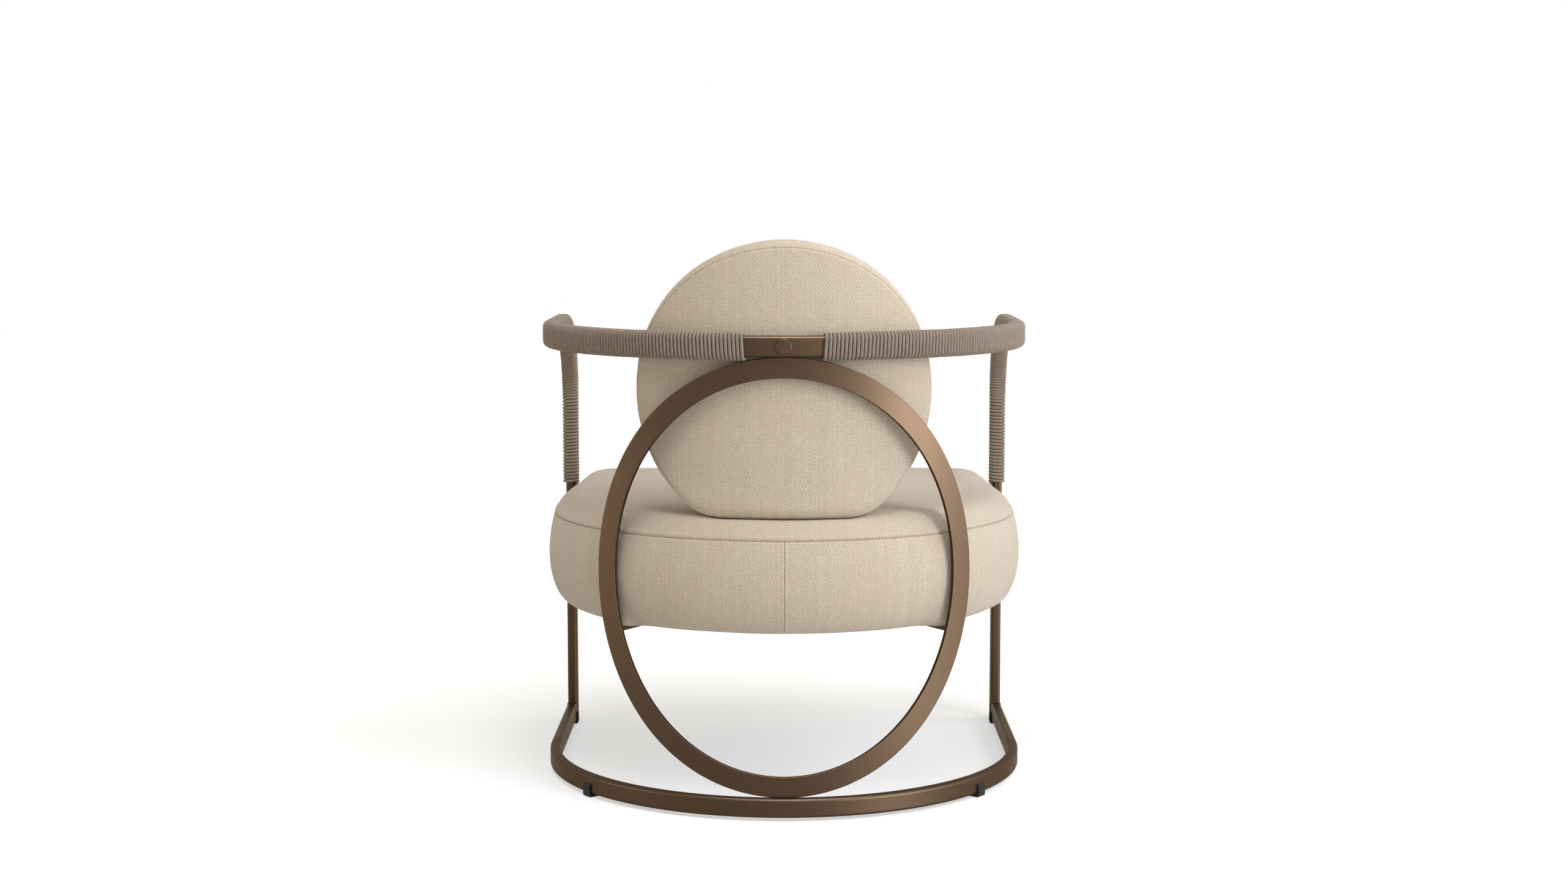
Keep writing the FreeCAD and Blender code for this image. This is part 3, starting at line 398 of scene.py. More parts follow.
def makeBronze():
    # Satin bronze lacquer: fine speckle, soft cloudy patches and a faint orange-peel relief
    material, tree, shader = newMaterial("bronzeFrame")
    place = addNode(tree, "ShaderNodeTexCoord").outputs["Object"]
    clouds = noise(tree, place, bronze["cloudScale"], 4.0, 0.55)
    speckle = noise(tree, place, bronze["speckleScale"])
    peel = noise(tree, place, bronze["peelScale"])
    colour = mixColour(tree, clouds, bronze["colour"], bronze["warm"])
    tree.links.new(colour, shader.inputs["Base Color"])
    rough = bronze["smoothest"]
    for part in (clouds, speckle):
        rough = calc(tree, "MULTIPLY_ADD", part, bronze["roughnessSpread"], rough)
    tree.links.new(rough, shader.inputs["Roughness"])
    relief = calc(tree, "MULTIPLY_ADD", speckle, bronze["speckleRelief"], peel)
    addBump(tree, shader, relief, bronze["peelMm"] * mm, bronze["bump"])
    setShader(shader, {"Metallic": bronze["metallic"], "Specular Tint": (*bronze["edgeTint"], 1)})
    return material


# light and dark colour, roughness, grain scale, relief in mm, metallic, specular
plainFinishes = {
    "blackGlide": ((0.009, 0.009, 0.0095), (0.005, 0.005, 0.0055), 0.62, (900,) * 3, 0.05, 0.0,
                   0.2),
    "platedFixings": ((0.55, 0.55, 0.53), (0.42, 0.42, 0.41), 0.38, (500,) * 3, 0.03, 0.9, 0.5),
    "plywood": ((0.60, 0.44, 0.27), (0.42, 0.29, 0.16), 0.6, (14, 160, 900), 0.2, 0.0, 0.5),
    "dustCloth": ((0.020, 0.020, 0.021), (0.008, 0.008, 0.009), 0.9, (1500,) * 3, 0.12, 0.0, 0.5),
}
grain = {"stops": (0.35, 0.65), "roughnessSpread": 0.16}


def makePlain(name):
    # Mottled surface on object coordinates: plastic, zinc, plywood or non-woven cloth
    light, dark, roughness, scale, relief, metallic, specular = plainFinishes[name]
    material, tree, shader = newMaterial(name)
    place = addNode(tree, "ShaderNodeTexCoord").outputs["Object"]
    stretched = addNode(tree, "ShaderNodeMapping", {"Vector": place, "Scale": scale}).outputs[0]
    mottle = noise(tree, stretched, 1.0, 4.0, 0.6)
    colour = ramp(tree, mottle, *zip(grain["stops"], (dark, light)))
    tree.links.new(colour, shader.inputs["Base Color"])
    smoothest = roughness - grain["roughnessSpread"] / 2
    rough = calc(tree, "MULTIPLY_ADD", mottle, grain["roughnessSpread"], smoothest)
    tree.links.new(rough, shader.inputs["Roughness"])
    addBump(tree, shader, mottle, relief * mm)
    setShader(shader, {"Metallic": metallic, "Specular IOR Level": specular})
    return material


wovenCover = makeWeave()
seamThread = makeThread()
woundCord = makeCordFinish()
bronzeFrame = makeBronze()
blackGlide, platedFixings, plywood, dustCloth = [makePlain(name) for name in plainFinishes]
print("materials ready")

nodeFinishes = {
    bronzeFrame: ["post_left", "post_right", "front_crossbar", "hoop_bracket_left",
                  "hoop_bracket_right"],
    blackGlide: ["glide_rear_left", "glide_rear_right", "glide_front_left", "glide_front_right",
                 "back_spacer"],
    platedFixings: ["seat_screws", "back_tee_nut"],
    plywood: ["seat_board", "back_board"],
}
for finish, names in nodeFinishes.items():
    for name in names:
        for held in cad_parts[name].material_slots:
            held.material = finish


# Hoop

hoop = {"bendMm": 430, "thicknessMm": 6, "bandMm": 28, "edgeMm": 0.9, "edgeSteps": 4, "steps": 260,
        "lengthM": 1.7}


def makeHoop():
    # Flat bar on a cylinder. Unrolled, its outline is an ellipse; a distance run along the bend
    # stands at bend * sin(run / bend) across.
    bend, thickness, band = hoop["bendMm"] * mm, hoop["thicknessMm"] * mm, hoop["bandMm"] * mm
    spread = bend * math.asin(hoopHigh.x / bend)
    rise = (hoopHigh.z - hoopLow.z) / 2
    middle = (hoopHigh.z + hoopLow.z) / 2
    centreY = hoopHigh.y - bend
    section = railLoop(band / 2, thickness / 2, hoop["edgeMm"] * mm, hoop["edgeSteps"])[::-1]
    turn = np.linspace(0, 2 * np.pi, hoop["steps"], endpoint=False)[:, None]
    inward = band / 2 - section[:, 0]
    run = (spread - inward) * np.sin(turn)
    height = middle + (rise - inward) * np.cos(turn)
    reach = bend - thickness / 2 + section[:, 1]
    x, y = reach * np.sin(run / bend), centreY + reach * np.cos(run / bend)
    points = np.stack([x, y, height], -1)
    around = 2 * (band + thickness)
    piece = ringPiece("hoopBar", points, bronzeFrame, around, hoop["lengthM"])
    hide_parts("hoop_ring")


makeHoop()
print("hoop ready")


# Arm rail and base rail: a rounded rectangle carried along their lines, with weld beads where
# the base rail meets the posts

rails = {"arcSteps": 150, "bendSteps": 28}
weld = {"beadMm": 1.3, "ripples": 34, "rippleMm": 0.16, "stepsPerRipple": 6, "sides": 9}


def alongArm(run, out, up):
    # Place beside the arm rail's centre line: round the half circle, along the straight arm,
    # round the bend and down the post. out is away from the chair, up is square to the rail.
    straightEnd = arcLength + armStraight
    run, out, up = np.broadcast_arrays(run, out, up)
    turn = np.clip(run, None, arcLength) / railMiddle
    straight = np.clip(run - arcLength, 0, armStraight)
    bend = np.clip(run - straightEnd, 0, bendLength) / bendRadius
    drop = np.clip(run - straightEnd - bendLength, 0, None)
    x = (railMiddle + out) * np.sin(turn)
    y = arcY + (railMiddle + out) * np.cos(turn) - straight - (bendRadius + up) * np.sin(bend)
    z = armMiddle - bendRadius + (bendRadius + up) * np.cos(bend) - drop
    return np.stack([x, y, z], -1)


def alongBase(run, out, up):
    # place beside the base rail's centre line: round the half circle and straight to the post
    run, out, up = np.broadcast_arrays(run, out, up)
    turn = np.clip(run, None, arcLength) / railMiddle
    straight = np.clip(run - arcLength, 0, None)
    x = (railMiddle + out) * np.sin(turn)
    y = arcY + (railMiddle + out) * np.cos(turn) - straight
    return np.stack([x, y, baseMiddle + up], -1)


def railPiece(name, placeBeside, places, halfTall, replaced):
    # both halves of a rail from the run lengths along one of them
    loop = railLoop(tubeWidth / 2, halfTall, tube["cornerMm"] * mm, tube["cornerSteps"])
    half = placeBeside(places[:, None], loop[:, 0], loop[:, 1])
    rows = np.concatenate([(half * [-1, 1, 1])[:0:-1], half])
    around = 2 * (tubeWidth + 2 * halfTall)
    piece = tubePiece(name, rows, bronzeFrame, around)
    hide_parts(replaced)


def makeWeld(name, side):
    # Ring of round beads: the radius swells as a cosine of the distance along the joint, and the
    # joint's line is the tube's outline at the rail's end
    corner, ripples = tube["cornerMm"] * mm, weld["ripples"]
    loop, outward = roundedLoop(tubeWidth / 2, baseDepth / 2, corner, tube["cornerSteps"])
    distance = runLengths(np.concatenate([loop, loop[:1]]))
    places = np.linspace(0, distance[-1], weld["stepsPerRipple"] * ripples, endpoint=False)
    x, z, outX, outZ = [np.interp(places, distance, np.append(line, line[0]))[:, None]
                        for line in (*loop.T, *outward.T)]
    swell = weld["rippleMm"] * np.cos(2 * np.pi * ripples * places / distance[-1])
    radius = (weld["beadMm"] + swell)[:, None] * mm
    turn = np.linspace(0, 2 * np.pi, weld["sides"], endpoint=False)
    across, away = radius * np.cos(turn), radius * np.sin(turn)
    rows = np.stack([x + outX * across + side * railMiddle, baseLow.y + away,
                     z + outZ * across + baseMiddle], -1)
    around = 2 * np.pi * radius[0, 0]
    ringPiece(name, rows, bronzeFrame, around, distance[-1])


def makeRails():
    arc = np.linspace(0, arcLength, rails["arcSteps"])
    bend = arcLength + armStraight + np.linspace(0, bendLength, rails["bendSteps"])
    railPiece("armRail", alongArm, np.concatenate([arc, bend]), tubeDepth / 2, "arm_rail")
    baseEnd = arcLength + arcY - baseLow.y
    railPiece("baseRail", alongBase, np.append(arc, baseEnd), baseDepth / 2, "base_rail")
    makeWeld("weldLeft", 1)
    makeWeld("weldRight", -1)


makeRails()
print("rails ready")


# Cord wound round the arms

winding = {
    "diameterMm": 4.6, "pitchMm": 5.25, "startMm": 49.9, "endHeightMm": 379.5,
    "shiftMm": 0.14, "liftMm": 0.12, "clearMm": 0.12, "cornerSteps": 4, "sides": 10,
    "seeds": {1: 11, -1: 12}, "nudgeMm": 0.1,
}


def makeWinding(name, side, *cadNodes):
    # Screw line round the rail's rounded section: one time round the section for each pitch along
    # the rail, with a little drawn unevenness from turn to turn. A circle is carried along it,
    # set square by the section's outward direction and the rail's own direction.
    radius, nudge = winding["diameterMm"] * mm / 2, winding["nudgeMm"] * mm
    corner, steps = tube["cornerMm"] * mm + radius, winding["cornerSteps"]
    loop, outward = roundedLoop(tubeWidth / 2 + radius, tubeDepth / 2 + radius, corner, steps)
    start = 2 * (steps + 1) + 1          # in the lower corner on the sitter's side
    loop, outward = np.roll(loop, -start, 0), np.roll(outward, -start, 0)
    share = runLengths(np.concatenate([loop, loop[:1]]))
    share = share / share[-1]
    first = winding["startMm"] * mm + radius
    endHeight = winding["endHeightMm"] * mm + radius
    last = arcLength + armStraight + bendLength + (postHigh.z - endHeight)
    turns = int((last - first) / (winding["pitchMm"] * mm))
    pitch = (last - first) / turns
    index = np.arange(turns * len(loop) + 1)
    turnNumber = index // len(loop) + share[index % len(loop)]
    draw = np.random.default_rng(winding["seeds"][side])
    shift, lift = [np.interp(turnNumber, np.arange(turns + 2), line) * mm
                   for line in draw.uniform(-1, 1, (2, turns + 2))]
    run = first + pitch * turnNumber + shift * winding["shiftMm"]
    lift = lift * winding["liftMm"] + winding["clearMm"] * mm
    normal = outward[index % len(loop)]
    out, up = (loop[index % len(loop)] + normal * lift[:, None]).T
    centre = alongArm(run, out, up)
    away = alongArm(run, out + normal[:, 0] * nudge, up + normal[:, 1] * nudge) - centre
    forward = alongArm(run + nudge, out, up) - alongArm(run - nudge, out, up)
    away /= np.linalg.norm(away, axis=1, keepdims=True)
    forward /= np.linalg.norm(forward, axis=1, keepdims=True)
    turn = np.linspace(0, 2 * np.pi, winding["sides"], endpoint=False)[None, :, None]
    ring = np.cos(turn) * away[:, None] + np.sin(turn) * forward[:, None]
    rows = centre[:, None] + radius * ring
    rows[..., 0] *= side
    piece = tubePiece(name, rows, woundCord, 1.0)     # u is the share of a turn
    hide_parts(*cadNodes)
    print(name, turns, "turns,", round(float(runLengths(centre)[-1]), 1), "m of cord")


makeWinding("cordWindingLeft", 1, "cord_sleeve_left", "cord_turns_left")
makeWinding("cordWindingRight", -1, "cord_sleeve_right", "cord_turns_right")


# Outlines and surfaces of the pads. An outline is places, outward directions and distance round;
# it starts at the back or top middle and runs to the sitter's left.


def stretchLength(stretch):
    # an arc is (centre, radius, start, end) with angles in degrees, and a line is (start, end)
    if len(stretch) == 4:
        return abs(stretch[1] * math.radians(stretch[3] - stretch[2]))
    return math.dist(*stretch)


def stretchPoints(stretches, places):
    # points and normals at distances along the whole chain of stretches
    points, normals = np.zeros((len(places), 2)), np.zeros((len(places), 2))
    done, slack = 0.0, 1e-9
    for stretch in stretches:
        length = stretchLength(stretch)
        here = (places >= done - slack) & (places <= done + length + slack)
        along = (places[here] - done) / length
        if len(stretch) == 4:
            centre, radius, start, end = stretch
            angle = np.radians(start + along * (end - start))
            normals[here] = np.stack([np.cos(angle), np.sin(angle)], 1)
            points[here] = centre + radius * normals[here]
        else:
            start, end = (np.array(p) for p in stretch)
            points[here] = start + along[:, None] * (end - start)
            normals[here] = np.array([start[1] - end[1], end[0] - start[0]]) / length
        done += length
    return points, normals


def mirroredOutline(stretches, spacingMm, fineMm, reachMm):
    # the whole loop from its left half, with closer places near the first point and its mirror
    half, reach = sum(map(stretchLength, stretches)), reachMm * mm
    close = np.arange(0, reach, fineMm * mm)
    far = np.linspace(reach, half, int((half - reach) / (spacingMm * mm)) + 1)
    places = np.concatenate([close, far])
    points, normals = [np.concatenate([line, line[-2:0:-1] * [-1, 1]])
                       for line in stretchPoints(stretches, places)]
    around = np.concatenate([places, 2 * half - places[-2::-1]])
    return points, -normals if (points * normals).sum() < 0 else normals, around


def facingOut(points, row, outward):
    # Unit normals of a grid whose rows are closed loops, from the cross product of its differences
    # along and across, with the sign that faces outward in the given row
    across = np.roll(points, -1, 1) - np.roll(points, 1, 1)
    normal = np.cross(across, np.gradient(points, axis=0))
    normal = normal / np.maximum(np.linalg.norm(normal, axis=-1, keepdims=True), 1e-12)
    return normal if (normal[row] * outward).sum() > 0 else -normal


def uvBlock(firstRow, lastRow, u, v):
    return firstRow, lastRow, u[firstRow:lastRow + 1], v[firstRow:lastRow + 1]


def padPiece(name, points, uvBlocks, material):
    # rows of points closed by a centre point at each end
    rows, columns = points.shape[:2]
    ends = np.stack([points[0].mean(0), points[-1].mean(0)])
    places = np.concatenate([points.reshape(-1, 3), ends])
    quads, quadUvs, fans, fanUvs = [], [], [], []
    for firstRow, lastRow, u, v in uvBlocks:
        quads.append(gridFaces(lastRow - firstRow + 1, columns, firstRow * columns)[:, ::-1])
        quadUvs.append(gridUvs(u, v)[:, ::-1])
    j = np.arange(columns)
    for row, block, turned in ((0, 0, 1), (-1, -1, -1)):
        first, pole = (row % rows) * columns, rows * columns + row % 2
        u, v = uvBlocks[block][2][row], uvBlocks[block][3][row]
        fan = np.stack([first + j, first + (j + 1) % columns, np.full(columns, pole)], 1)
        centre = np.broadcast_to([u.mean(), v.mean()], (columns, 2))
        edge = np.stack([u, v], -1)
        fans.append(fan[:, ::turned])
        fanUvs.append(np.stack([edge[:-1], edge[1:], centre], 1)[:, ::turned])
    faces = [np.concatenate(quads), np.concatenate(fans)]
    return makePiece(name, places, faces, [np.concatenate(quadUvs), np.concatenate(fanUvs)],
                     material)


stitch = {"rings": 8, "sides": 6, "reach": 0.98, "roundness": 6, "thinnest": 0.05}


def stitchRow(name, line, normal, sizes, material=seamThread):
    # Short threads along a closed line: each is a capsule that dives at both ends by the square
    # of the way from its middle. line and normal are points and outward directions along it, and
    # sizes the pitch, length, radius, sink and slant in millimetres.
    pitch, length, radius, sink, slant = (size * mm for size in sizes)
    rings, sides = stitch["rings"], stitch["sides"]
    around = runLengths(np.concatenate([line, line[:1]]))
    count = int(around[-1] / pitch)
    middles = (np.arange(count) + 0.5) * around[-1] / count
    t = np.linspace(-1, 1, rings)
    run = middles[:, None] + t * length / 2

    def along(values):
        columns = np.concatenate([values, values[:1]]).T
        return np.stack([np.interp(run % around[-1], around, column) for column in columns], -1)

    centre, out = along(line), along(normal)
    out /= np.linalg.norm(out, axis=-1, keepdims=True)
    ahead = np.gradient(centre, axis=1)
    ahead /= np.linalg.norm(ahead, axis=-1, keepdims=True)
    side = np.cross(ahead, out)
    centre = centre - out * (sink * t ** 2)[None, :, None] + side * (slant * t)[None, :, None]
    taper = 1 - (t * stitch["reach"]) ** stitch["roundness"]
    taper = radius * np.sqrt(np.clip(taper, stitch["thinnest"], 1))
    angle = np.linspace(0, 2 * np.pi, sides, endpoint=False)[:, None]
    ring = np.cos(angle) * out[:, :, None] + np.sin(angle) * side[:, :, None]
    points = centre[:, :, None] + taper[None, :, None, None] * ring
    ends = np.stack([np.arange(sides)[::-1], np.arange(sides) + (rings - 1) * sides])
    firsts = rings * sides * np.arange(count)[:, None, None]
    quads = (gridFaces(rings, sides) + firsts).reshape(-1, 4)
    ends = (ends + firsts).reshape(-1, sides)
    u, v = np.meshgrid(np.linspace(0, 2 * np.pi * radius, sides + 1), np.linspace(0, length, rings))
    quadUvs = np.tile(gridUvs(u, v), (count, 1, 1))
    endUvs = np.zeros((len(ends), sides, 2))
    return makePiece(name, points.reshape(-1, 3), [quads, ends], [quadUvs, endUvs], material)


# What both pads share: seams drawn in, puckers beside them and an uneven surface

puckerSpread = np.array([0.7, 1.0, 1.45])


def seamGroove(fromSeam, pad):
    # drawn in by a bell curve of the distance from the seam
    return -pad["grooveMm"] * mm * bell(fromSeam, pad["grooveWidthMm"] * mm)[:, None]


def seamPuckers(fromSeam, around, pad):
    # ripples along the seam, fading with the square of the nearness to it
    waves = puckerSpread * pad["puckerWaveMm"] * mm
    ripple = smoothNoise(around[:-1, None], waves, pad["puckerSeed"])
    fade = np.clip(1 - np.abs(fromSeam) / (pad["puckerReachMm"] * mm), 0, 1) ** 2
    return pad["puckerMm"] * mm * fade[:, None] * ripple


def uneven(points, pad):
    # slow waves all over, as padding lies under its cloth
    waves = np.array(pad["unevenWavesMm"]) * mm
    return pad["unevenMm"] * mm * smoothNoise(points, waves, pad["unevenSeed"])


# Sizes of the back pad, and its foot, on which the seat's top rests. The pad is drawn flat, then
# bent round the rails' line.

backPad = {
    "radiusMm": 201, "halfSpanMm": 223.5, "flatDropMm": 172.5, "lowerCornerMm": 70,
    "footHalfMm": 80, "thicknessMm": 96, "frontCrownMm": 14, "rearCrownMm": 8, "crownMost": 1.1,
    "frontSwellMm": 6, "frontRoundMm": 32, "rearRoundMm": 15, "tuckMm": 5, "tuckFromMm": 148,
    "rearSeamShare": 0.23, "frontSeamShare": 0.5, "grooveMm": 1.5, "grooveWidthMm": 0.75,
    "diveFromMm": 118, "diveOverMm": 48, "diveTo": 80,
    "unevenMm": 0.6, "unevenWavesMm": (60, 95, 140, 190), "unevenSeed": 21,
    "puckerMm": 0.18, "puckerWaveMm": 17, "puckerReachMm": 26, "puckerSeed": 3,
    # spacing of the outline's points, the closer spacing near the top middle and its reach
    "outlineMm": (4, 1, 4),
    # distances in from the outline where the flats' rows start and end, the rear one's end
    # measured from the rim, and the numbers of rows
    "rearFlatMm": (45, 1.5), "frontFlatMm": (34, 60), "middleRows": 14, "rearFlatRows": 9,
    "rimRows": 19, "wallRows": 12, "frontRimRows": 24, "frontFlatRows": 6,
    # angles of the rim's rows beside the rear seam, and how far off the others keep
    "seamRows": (0.022, 0.05, 0.09), "seamClear": 0.11,
    # stitches: pitch, length, radius, sink and slant
    "stitchMm": (3.6, 2.6, 0.36, 0.5, 0.0),
}
backRadius = backPad["radiusMm"] * mm


def crownShare(height):
    # a parabola of the height from the pad's middle
    return np.clip((height / backRadius) ** 2, 0, backPad["crownMost"])


def rearReach(height):
    # The rear face's distance from the rails' line: less by the crown's parabola, and below
    # tuckFrom by a second one, where the pad settles on the seat
    tuckFrom = backPad["tuckFromMm"]
    below = np.clip(-height / mm - tuckFrom, 0, None) / (backPad["flatDropMm"] - tuckFrom)
    crown = backPad["rearCrownMm"] * mm * crownShare(height)
    return backRear - crown - backPad["tuckMm"] * mm * below ** 2


def roundLift(outside, radius):
    # height of a quarter round at a distance out from its start, and a metre more beyond its end,
    # where it sets no limit
    share = outside / radius
    return radius * (1 - np.sqrt(np.clip(1 - share ** 2, 0, 1))) + (share > 1) * 1.0


def footFloor(points):
    # Height that the seat's top may reach under the back pad: the pad's flat foot with its
    # rounded rims, found from the distance to the strip that the foot covers
    reach = np.hypot(points[..., 0], points[..., 1] - arcY)
    turn = np.abs(np.arctan2(points[..., 0], points[..., 1] - arcY))
    rearRound, frontRound = backPad["rearRoundMm"] * mm, backPad["frontRoundMm"] * mm
    rear = rearReach(rearRound - backPad["flatDropMm"] * mm)
    front = backRear - backPad["thicknessMm"] * mm + frontRound
    halfRun = backPad["footHalfMm"] * mm * backPad["halfSpanMm"] / backPad["radiusMm"]
    beside = np.maximum(turn * rear - halfRun, 0)
    lift = roundLift(np.maximum(reach - (rear - rearRound), 0), rearRound)
    lift = lift + roundLift(np.maximum(front - reach, 0), frontRound)
    lift = lift + beside ** 2 / (2 * backPad["lowerCornerMm"] * mm)
    return backHigh.z - backRadius - backPad["flatDropMm"] * mm - seat["footGapMm"] * mm + lift


# Seat pad

seat = {
    "radiusMm": 343.5, "taper": 3.7, "frontMm": 325, "cornerMm": 65, "bowMm": 1500,
    "sideMm": 128, "underInsetMm": 30, "widestShare": 0.547, "seamInsetMm": 8.5,
    "crownMm": 29.5, "crownReachMm": 54, "crownPower": 4,
    "grooveMm": 2.4, "grooveWidthMm": 1.1, "foldMm": 1.0, "foldPlaceMm": 4.5, "foldWidthMm": 2.6,
    # seam down the middle of the back, with a light ridge on each side of it
    "backSeamMm": 1.7, "backSeamWidthMm": 0.8, "backSeamFromMm": 4,
    "ridgeMm": 0.35, "ridgePlaceMm": 2.6, "ridgeWidthMm": 1.4,
    "unevenMm": 0.7, "unevenWavesMm": (70, 110, 150, 210), "unevenSeed": 8,
    "puckerMm": 0.22, "puckerWaveMm": 21, "puckerReachMm": 30, "puckerSeed": 5,
    "footGapMm": 0.4, "footBlendMm": 1.5,
    "tabFull": 0.9, "tabSpreadMm": 14, "tabHalfMm": 10, "tabFadeMm": 45,
    # spacing of the outline's points, the closer spacing near the back middle and its reach
    "outlineMm": (5, 0.5, 5),
    # rows: the underside's (distance in from the side's foot, rise), then the numbers of the rest
    "underRowsMm": ((40, 1.2), (26, 1.2), (25, 0), (8, 0)),
    "lowerRows": 16, "upperRows": 33, "crownRows": 45, "middleRows": 12,
    # powers that bring the rows closer near the seam, below and above it
    "upperPower": 1.7, "crownRowPower": 1.8,
    # stitches: pitch, length, radius, sink and slant
    "stitchMm": (4.6, 3.5, 0.5, 0.7, 0.25), "stitchRowsUp": 4,
}


def seatStretches():
    # back: a circle; sides: lines that taper to the front; corners: circles that meet the sides
    # and the long arc of the front
    radius, taper = seat["radiusMm"] * mm, math.radians(seat["taper"])
    corner, bow, front = seat["cornerMm"] * mm, seat["bowMm"] * mm, seat["frontMm"] * mm
    outward = np.array([math.cos(taper), -math.sin(taper)])
    along = np.array([-math.sin(taper), -math.cos(taper)])
    bowCentre = np.array([0.0, bow - front])
    toLine = outward * (radius - corner) - bowCentre
    half = toLine @ along
    run = -half + math.sqrt(half ** 2 - toLine @ toLine + (bow - corner) ** 2)
    cornerCentre = outward * (radius - corner) + along * run
    toCorner = cornerCentre - bowCentre
    frontAngle = math.degrees(math.atan2(toCorner[1], toCorner[0]))
    return [(np.zeros(2), radius, 90.0, -seat["taper"]),
            (outward * radius, outward * radius + along * run),
            (cornerCentre, corner, -seat["taper"], frontAngle),
            (bowCentre, bow, frontAngle, -90.0)]


def seatProfile():
    # Each row's distance in from the outline and its rise. Side: a quarter ellipse below the
    # widest line, a parabola above it. Top: 1 - (1 - s) ** power of its distance from the seam.
    side, under = seat["sideMm"] * mm, seat["underInsetMm"] * mm
    seam, crown, reach = seat["seamInsetMm"] * mm, seat["crownMm"] * mm, seat["crownReachMm"] * mm
    widest = side * seat["widestShare"]
    underIn, underUp = np.array(seat["underRowsMm"]).T * mm
    turn = np.linspace(0, np.pi / 2, seat["lowerRows"])
    upper = 1 - np.linspace(1, 0, seat["upperRows"] + 1)[1:] ** seat["upperPower"]
    top = np.linspace(0, 1, seat["crownRows"] + 1)[1:] ** seat["crownRowPower"]
    inset = np.concatenate([under + underIn, under * (1 - np.sin(turn)), seam * upper ** 2,
                            seam + top * reach])
    rise = np.concatenate([underUp, widest * (1 - np.cos(turn)), widest + (side - widest) * upper,
                           side + crown * (1 - (1 - top) ** seat["crownPower"])])
    return inset, rise, len(underIn) + len(turn) + len(upper) - 1


def tabFullness(points, inset, rise):
    # How much fuller the lower edge is over the two tabs that carry the seat: a bell curve of the
    # distance round the chair from the tab, fading upwards
    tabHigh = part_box("hoop_bracket_left")[1]
    half = seat["tabHalfMm"] * mm
    turn = math.atan2(tabHigh.x - half, tabHigh.y - half - arcY)
    fromTab = np.abs(points[..., 0]) * math.cos(turn) - (points[..., 1] - arcY) * math.sin(turn)
    near = np.exp(-(fromTab / (seat["tabSpreadMm"] * mm)) ** 2 / 2) * (points[..., 1] > arcY)
    low = np.clip(1 - rise / (seat["tabFadeMm"] * mm), 0, 1)
    return seat["tabFull"] * near * (low * np.minimum(inset, seat["underInsetMm"] * mm))[:, None]


def seatRelief(points, fromSeam, around, onSide):
    # how far the cloth stands out from the plain form
    fold = bell(fromSeam - seat["foldPlaceMm"] * mm, seat["foldWidthMm"] * mm)[:, None]
    move = seamGroove(fromSeam, seat) + seat["foldMm"] * mm * fold
    fromBack = np.minimum(around[:-1], around[-1] - around[:-1])
    ridge = bell(fromBack - seat["ridgePlaceMm"] * mm, seat["ridgeWidthMm"] * mm)
    seam = bell(fromBack, seat["backSeamWidthMm"] * mm)
    seam = seat["ridgeMm"] * mm * ridge - seat["backSeamMm"] * mm * seam
    move = move + seam * onSide[:, None]
    return move + seamPuckers(fromSeam, around, seat) + uneven(points, seat)


def makeSeat():
    outline, normals, around = mirroredOutline(seatStretches(), *seat["outlineMm"])
    inset, rise, seamRow = seatProfile()
    rings = outline - inset[:, None, None] * normals
    inner = np.linspace(1, 0, seat["middleRows"] + 2)[1:-1]
    rings = np.concatenate([rings, inner[:, None, None] * rings[-1]])
    inset, rise = (np.append(line, np.full(len(inner), line[-1])) for line in (inset, rise))
    height = np.broadcast_to((seatBottom + rise)[:, None, None], (*rings.shape[:2], 1))
    points = np.concatenate([rings + [0, arcY], height], -1)
    points[..., :2] += normals * tabFullness(points, inset, rise)[..., None]
    sideRow = seamRow - seat["upperRows"] // 2
    outward = np.column_stack([normals, np.zeros(len(normals))])
    profile = runLengths(points[:, 0])
    fromSeam = profile - profile[seamRow]
    rowNumber = np.arange(len(rise))
    onSide = (rise > seat["backSeamFromMm"] * mm) & (rowNumber < seamRow)
    move = seatRelief(points, fromSeam, around, onSide)
    points = points + facingOut(points, sideRow, outward) * move[..., None]
    # under the back pad the top takes the lower of its own height and the foot's, with a soft
    # change from one to the other: log(1 + exp(overlap))
    onTop, blend = rowNumber > seamRow, seat["footBlendMm"] * mm
    overlap = (points[..., 2] - footFloor(points)) / blend
    points[onTop, :, 2] -= np.logaddexp(0, overlap[onTop]) * blend
    # the top panel's cloth lies flat in the middle, and its slope near the seam is let out
    spare = fromSeam - (inset - inset[seamRow])
    spare = np.where(onTop, spare[-1] - spare, spare[-1])
    flat = closedLoop(points[..., :2] + normals * spare[:, None, None])
    flat = flat[..., 0], flat[..., 1]
    wall = np.broadcast_arrays(around, profile[:, None])
    foot = len(seat["underRowsMm"]) - 1
    blocks = [uvBlock(0, foot, *flat), uvBlock(foot, seamRow, *wall),
              uvBlock(seamRow, len(points) - 1, *flat)]
    piece = padPiece("seatPad", points, blocks, wovenCover)
    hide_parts("seat_foam", "seat_cover")
    row = seamRow + seat["stitchRowsUp"]
    stitchOut = facingOut(points, sideRow, outward)[row]
    stitches = stitchRow("seatStitches", points[row], stitchOut, seat["stitchMm"])
    stitches.parent = piece


makeSeat()
print("seat pad ready")


# Dust sheet under the seat

dustSheet = {
    "insetMm": 44, "thicknessMm": 0.6, "rows": 30, "outlineMm": (7, 3, 6),
    "waveMm": 0.5, "wavesMm": (45, 70, 110, 160), "waveSeed": 31,
    # staples: pitch, length, radius, sink and slant
    "stapleInsetMm": 6, "stapleProudMm": 0.15, "stapleMm": (36, 10, 0.45, 0.5, 0.0),
}


